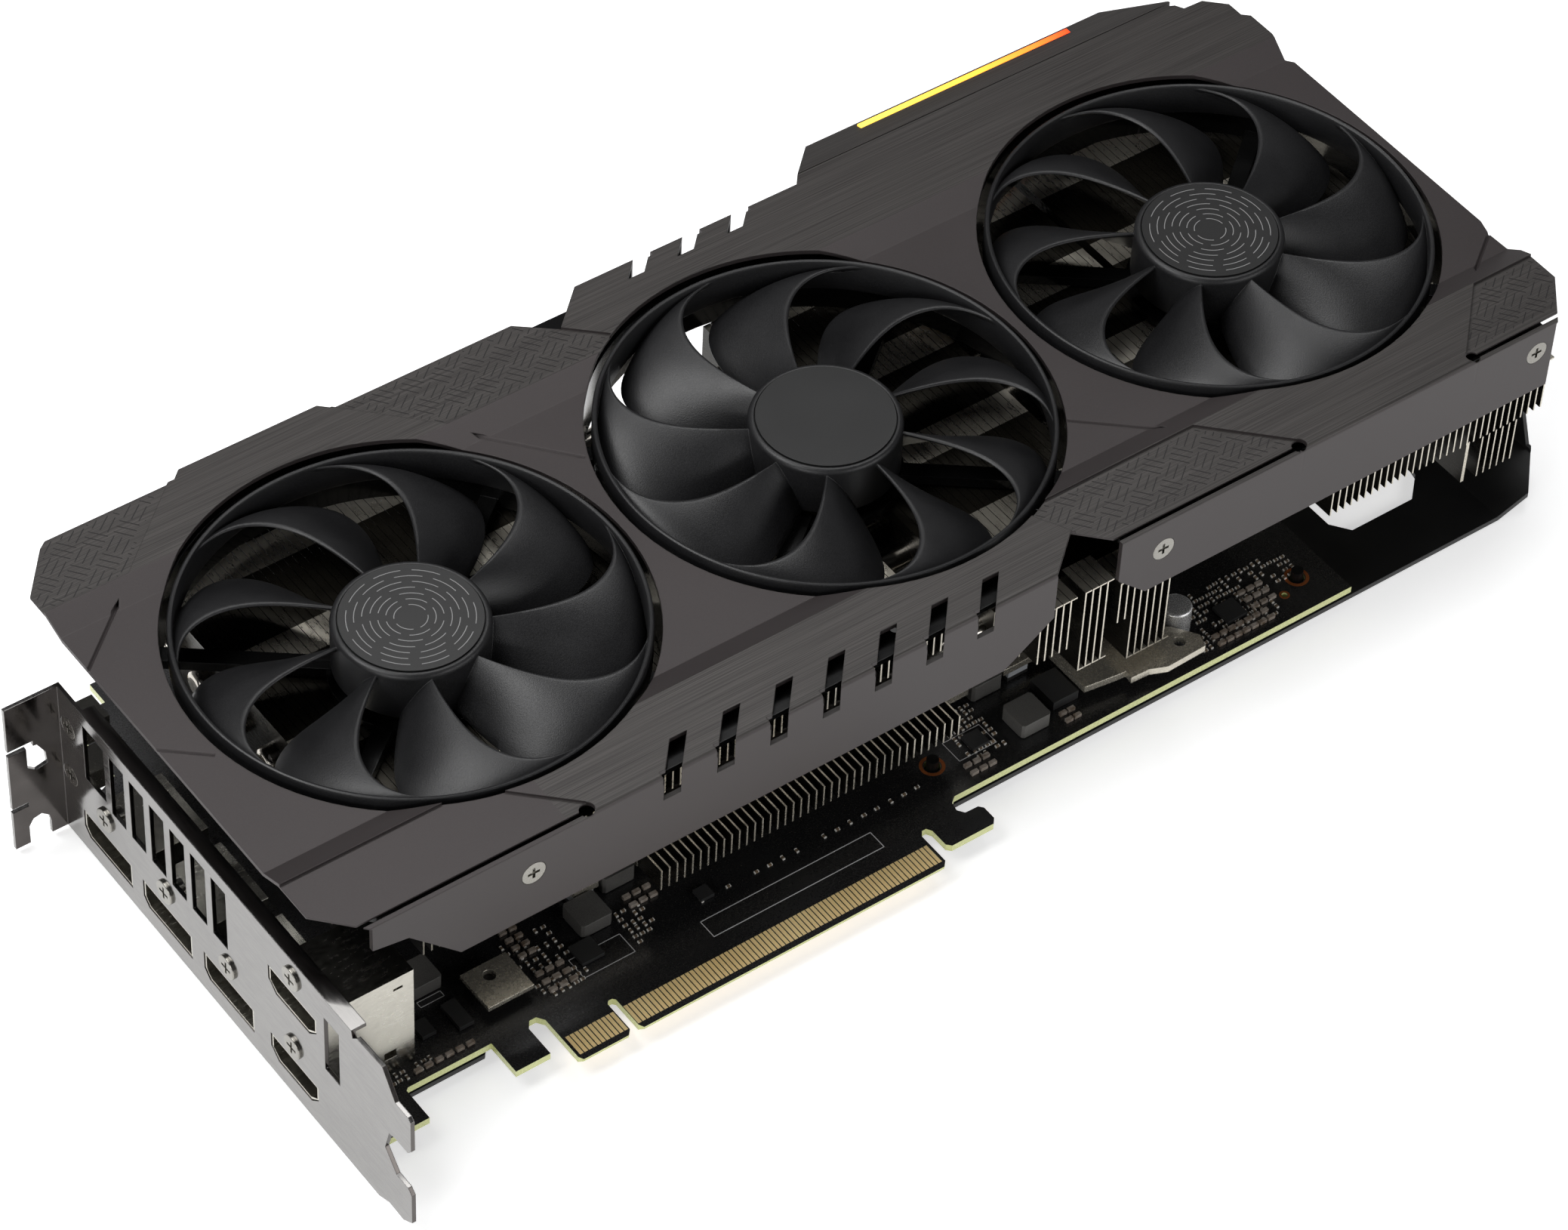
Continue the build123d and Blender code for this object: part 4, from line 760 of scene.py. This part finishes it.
def clipped(outline, x0, y0, x1, y1):
    """The parts of a straight line that lie inside an outline."""
    cuts = [0.0, 1.0]
    for (ax, ay), (bx, by) in zip(outline, outline[1:] + outline[:1]):
        cross = (x1 - x0) * (by - ay) - (y1 - y0) * (bx - ax)
        if abs(cross) < 1e-9:
            continue
        t = ((ax - x0) * (by - ay) - (ay - y0) * (bx - ax)) / cross
        u = ((ax - x0) * (y1 - y0) - (ay - y0) * (x1 - x0)) / cross
        if 0 < t < 1 and 0 <= u <= 1:
            cuts.append(t)
    cuts.sort()
    kept = []
    for a, b in zip(cuts, cuts[1:]):
        middle = (a + b) / 2
        if b - a > 0.02 and inside(outline, x0 + (x1 - x0) * middle, y0 + (y1 - y0) * middle):
            kept.append((x0 + (x1 - x0) * a, y0 + (y1 - y0) * a, x0 + (x1 - x0) * b, y0 + (y1 - y0) * b))
    return kept


def basket_weave(outline, pitch, width):
    """Fine grooves in a plain basket weave, kept inside an outline."""
    loops = []
    turn = math.radians(38)
    across = Vector((math.cos(turn), math.sin(turn)))
    along = Vector((-across.y, across.x))
    xs, ys = [p[0] for p in outline], [p[1] for p in outline]
    centre = Vector(((min(xs) + max(xs)) / 2, (min(ys) + max(ys)) / 2))
    count = int(max(max(xs) - min(xs), max(ys) - min(ys)) / pitch) + 2
    for i in range(-count, count + 1):
        for j in range(-count, count + 1):
            corner = centre + (across * i + along * j) * pitch
            step = across if (i + j) % 2 else along
            other = along if (i + j) % 2 else across
            for k in range(3):
                start = corner + other * (k / 3 + 1 / 6) * pitch + step * 0.06 * pitch
                stop = start + step * 0.88 * pitch
                for kept in clipped(outline, start.x, start.y, stop.x, stop.y):
                    loops.append(line(*kept, width))
    return loops


PATCH_DROP = 0.6
patch_height = (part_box("shroud")[1].z - ZERO.z) / MM - PATCH_DROP
groove_grey = finish("groove_grey", (0.010, 0.009, 0.009), (0.018, 0.016, 0.016), (0.4, 0.55), metal=0.3,
                     grain=5000, bump=0.05)
patches = [[(3.4, 114.0), (20.4, 114.0), (36.8, 128.8), (12.2, 128.8), (3.4, 117.6)],
           [(79.0, 128.8), (92.8, 114.0), (128.9, 114.0), (131.9, 116.4), (125.3, 122.7), (118.6, 128.8)],
           [(171.6, 31.5), (172.0, 30.0), (175.8, 23.4), (181.6, 18.4), (225.4, 18.4), (212.0, 31.5)],
           [(271.2, 18.4), (294.0, 18.4), (299.0, 24.6), (299.0, 31.5), (285.0, 31.5), (271.2, 18.6)]]
weave = [loop for outline in patches for loop in basket_weave(outline, 4.6, 0.2)]
flat_shapes("patch_grooves", weave, patch_height, 0.03, groove_grey, "card")


# ---- light bar ----
# A translucent bar lit from behind, yellow at its left end and red at its right.
def glow():
    """Light that changes colour along the bar."""
    material = bpy.data.materials.new("light_bar_glow")
    material.use_nodes = True
    nodes, links = material.node_tree.nodes, material.node_tree.links
    shader = nodes["Principled BSDF"]
    where = nodes.new("ShaderNodeNewGeometry")
    split = nodes.new("ShaderNodeSeparateXYZ")
    links.new(where.outputs["Position"], split.inputs[0])
    low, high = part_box("light_bar")
    along = nodes.new("ShaderNodeMapRange")
    along.inputs["From Min"].default_value = low.x
    along.inputs["From Max"].default_value = high.x
    links.new(split.outputs["X"], along.inputs["Value"])
    ramp = nodes.new("ShaderNodeValToRGB")
    ramp.color_ramp.elements[0].color = (1.0, 0.62, 0.08, 1)
    ramp.color_ramp.elements[1].color = (1.0, 0.05, 0.01, 1)
    middle = ramp.color_ramp.elements.new(0.55)
    middle.color = (1.0, 0.4, 0.04, 1)
    links.new(along.outputs["Result"], ramp.inputs["Fac"])
    links.new(ramp.outputs["Color"], shader.inputs["Emission Color"])
    links.new(ramp.outputs["Color"], shader.inputs["Base Color"])
    shader.inputs["Emission Strength"].default_value = 1.6
    cloud = noise(nodes, links, 800, 2)
    links.new(remap(nodes, links, cloud, 0.3, 0.5), shader.inputs["Roughness"])
    return material


dress("light_bar", glow())


# ---- slot bracket ----
# Stamped steel with a bright nickel plate, screwed to the board's sockets.
nickel = finish("bright_nickel", (0.20, 0.195, 0.19), (0.26, 0.253, 0.246), (0.10, 0.19), metal=1.0,
                grain=1800, bump=0.02, stretch=(1, 0.15, 1), blotch=30, edge=0.00025)
# Painted dark reflection on the bracket's flange, the faces turned along Y.
darken_sides(nickel, "Y", (0.05, 0.045, 0.042), (0.12, 0.11, 0.105))
dress("bracket", nickel)
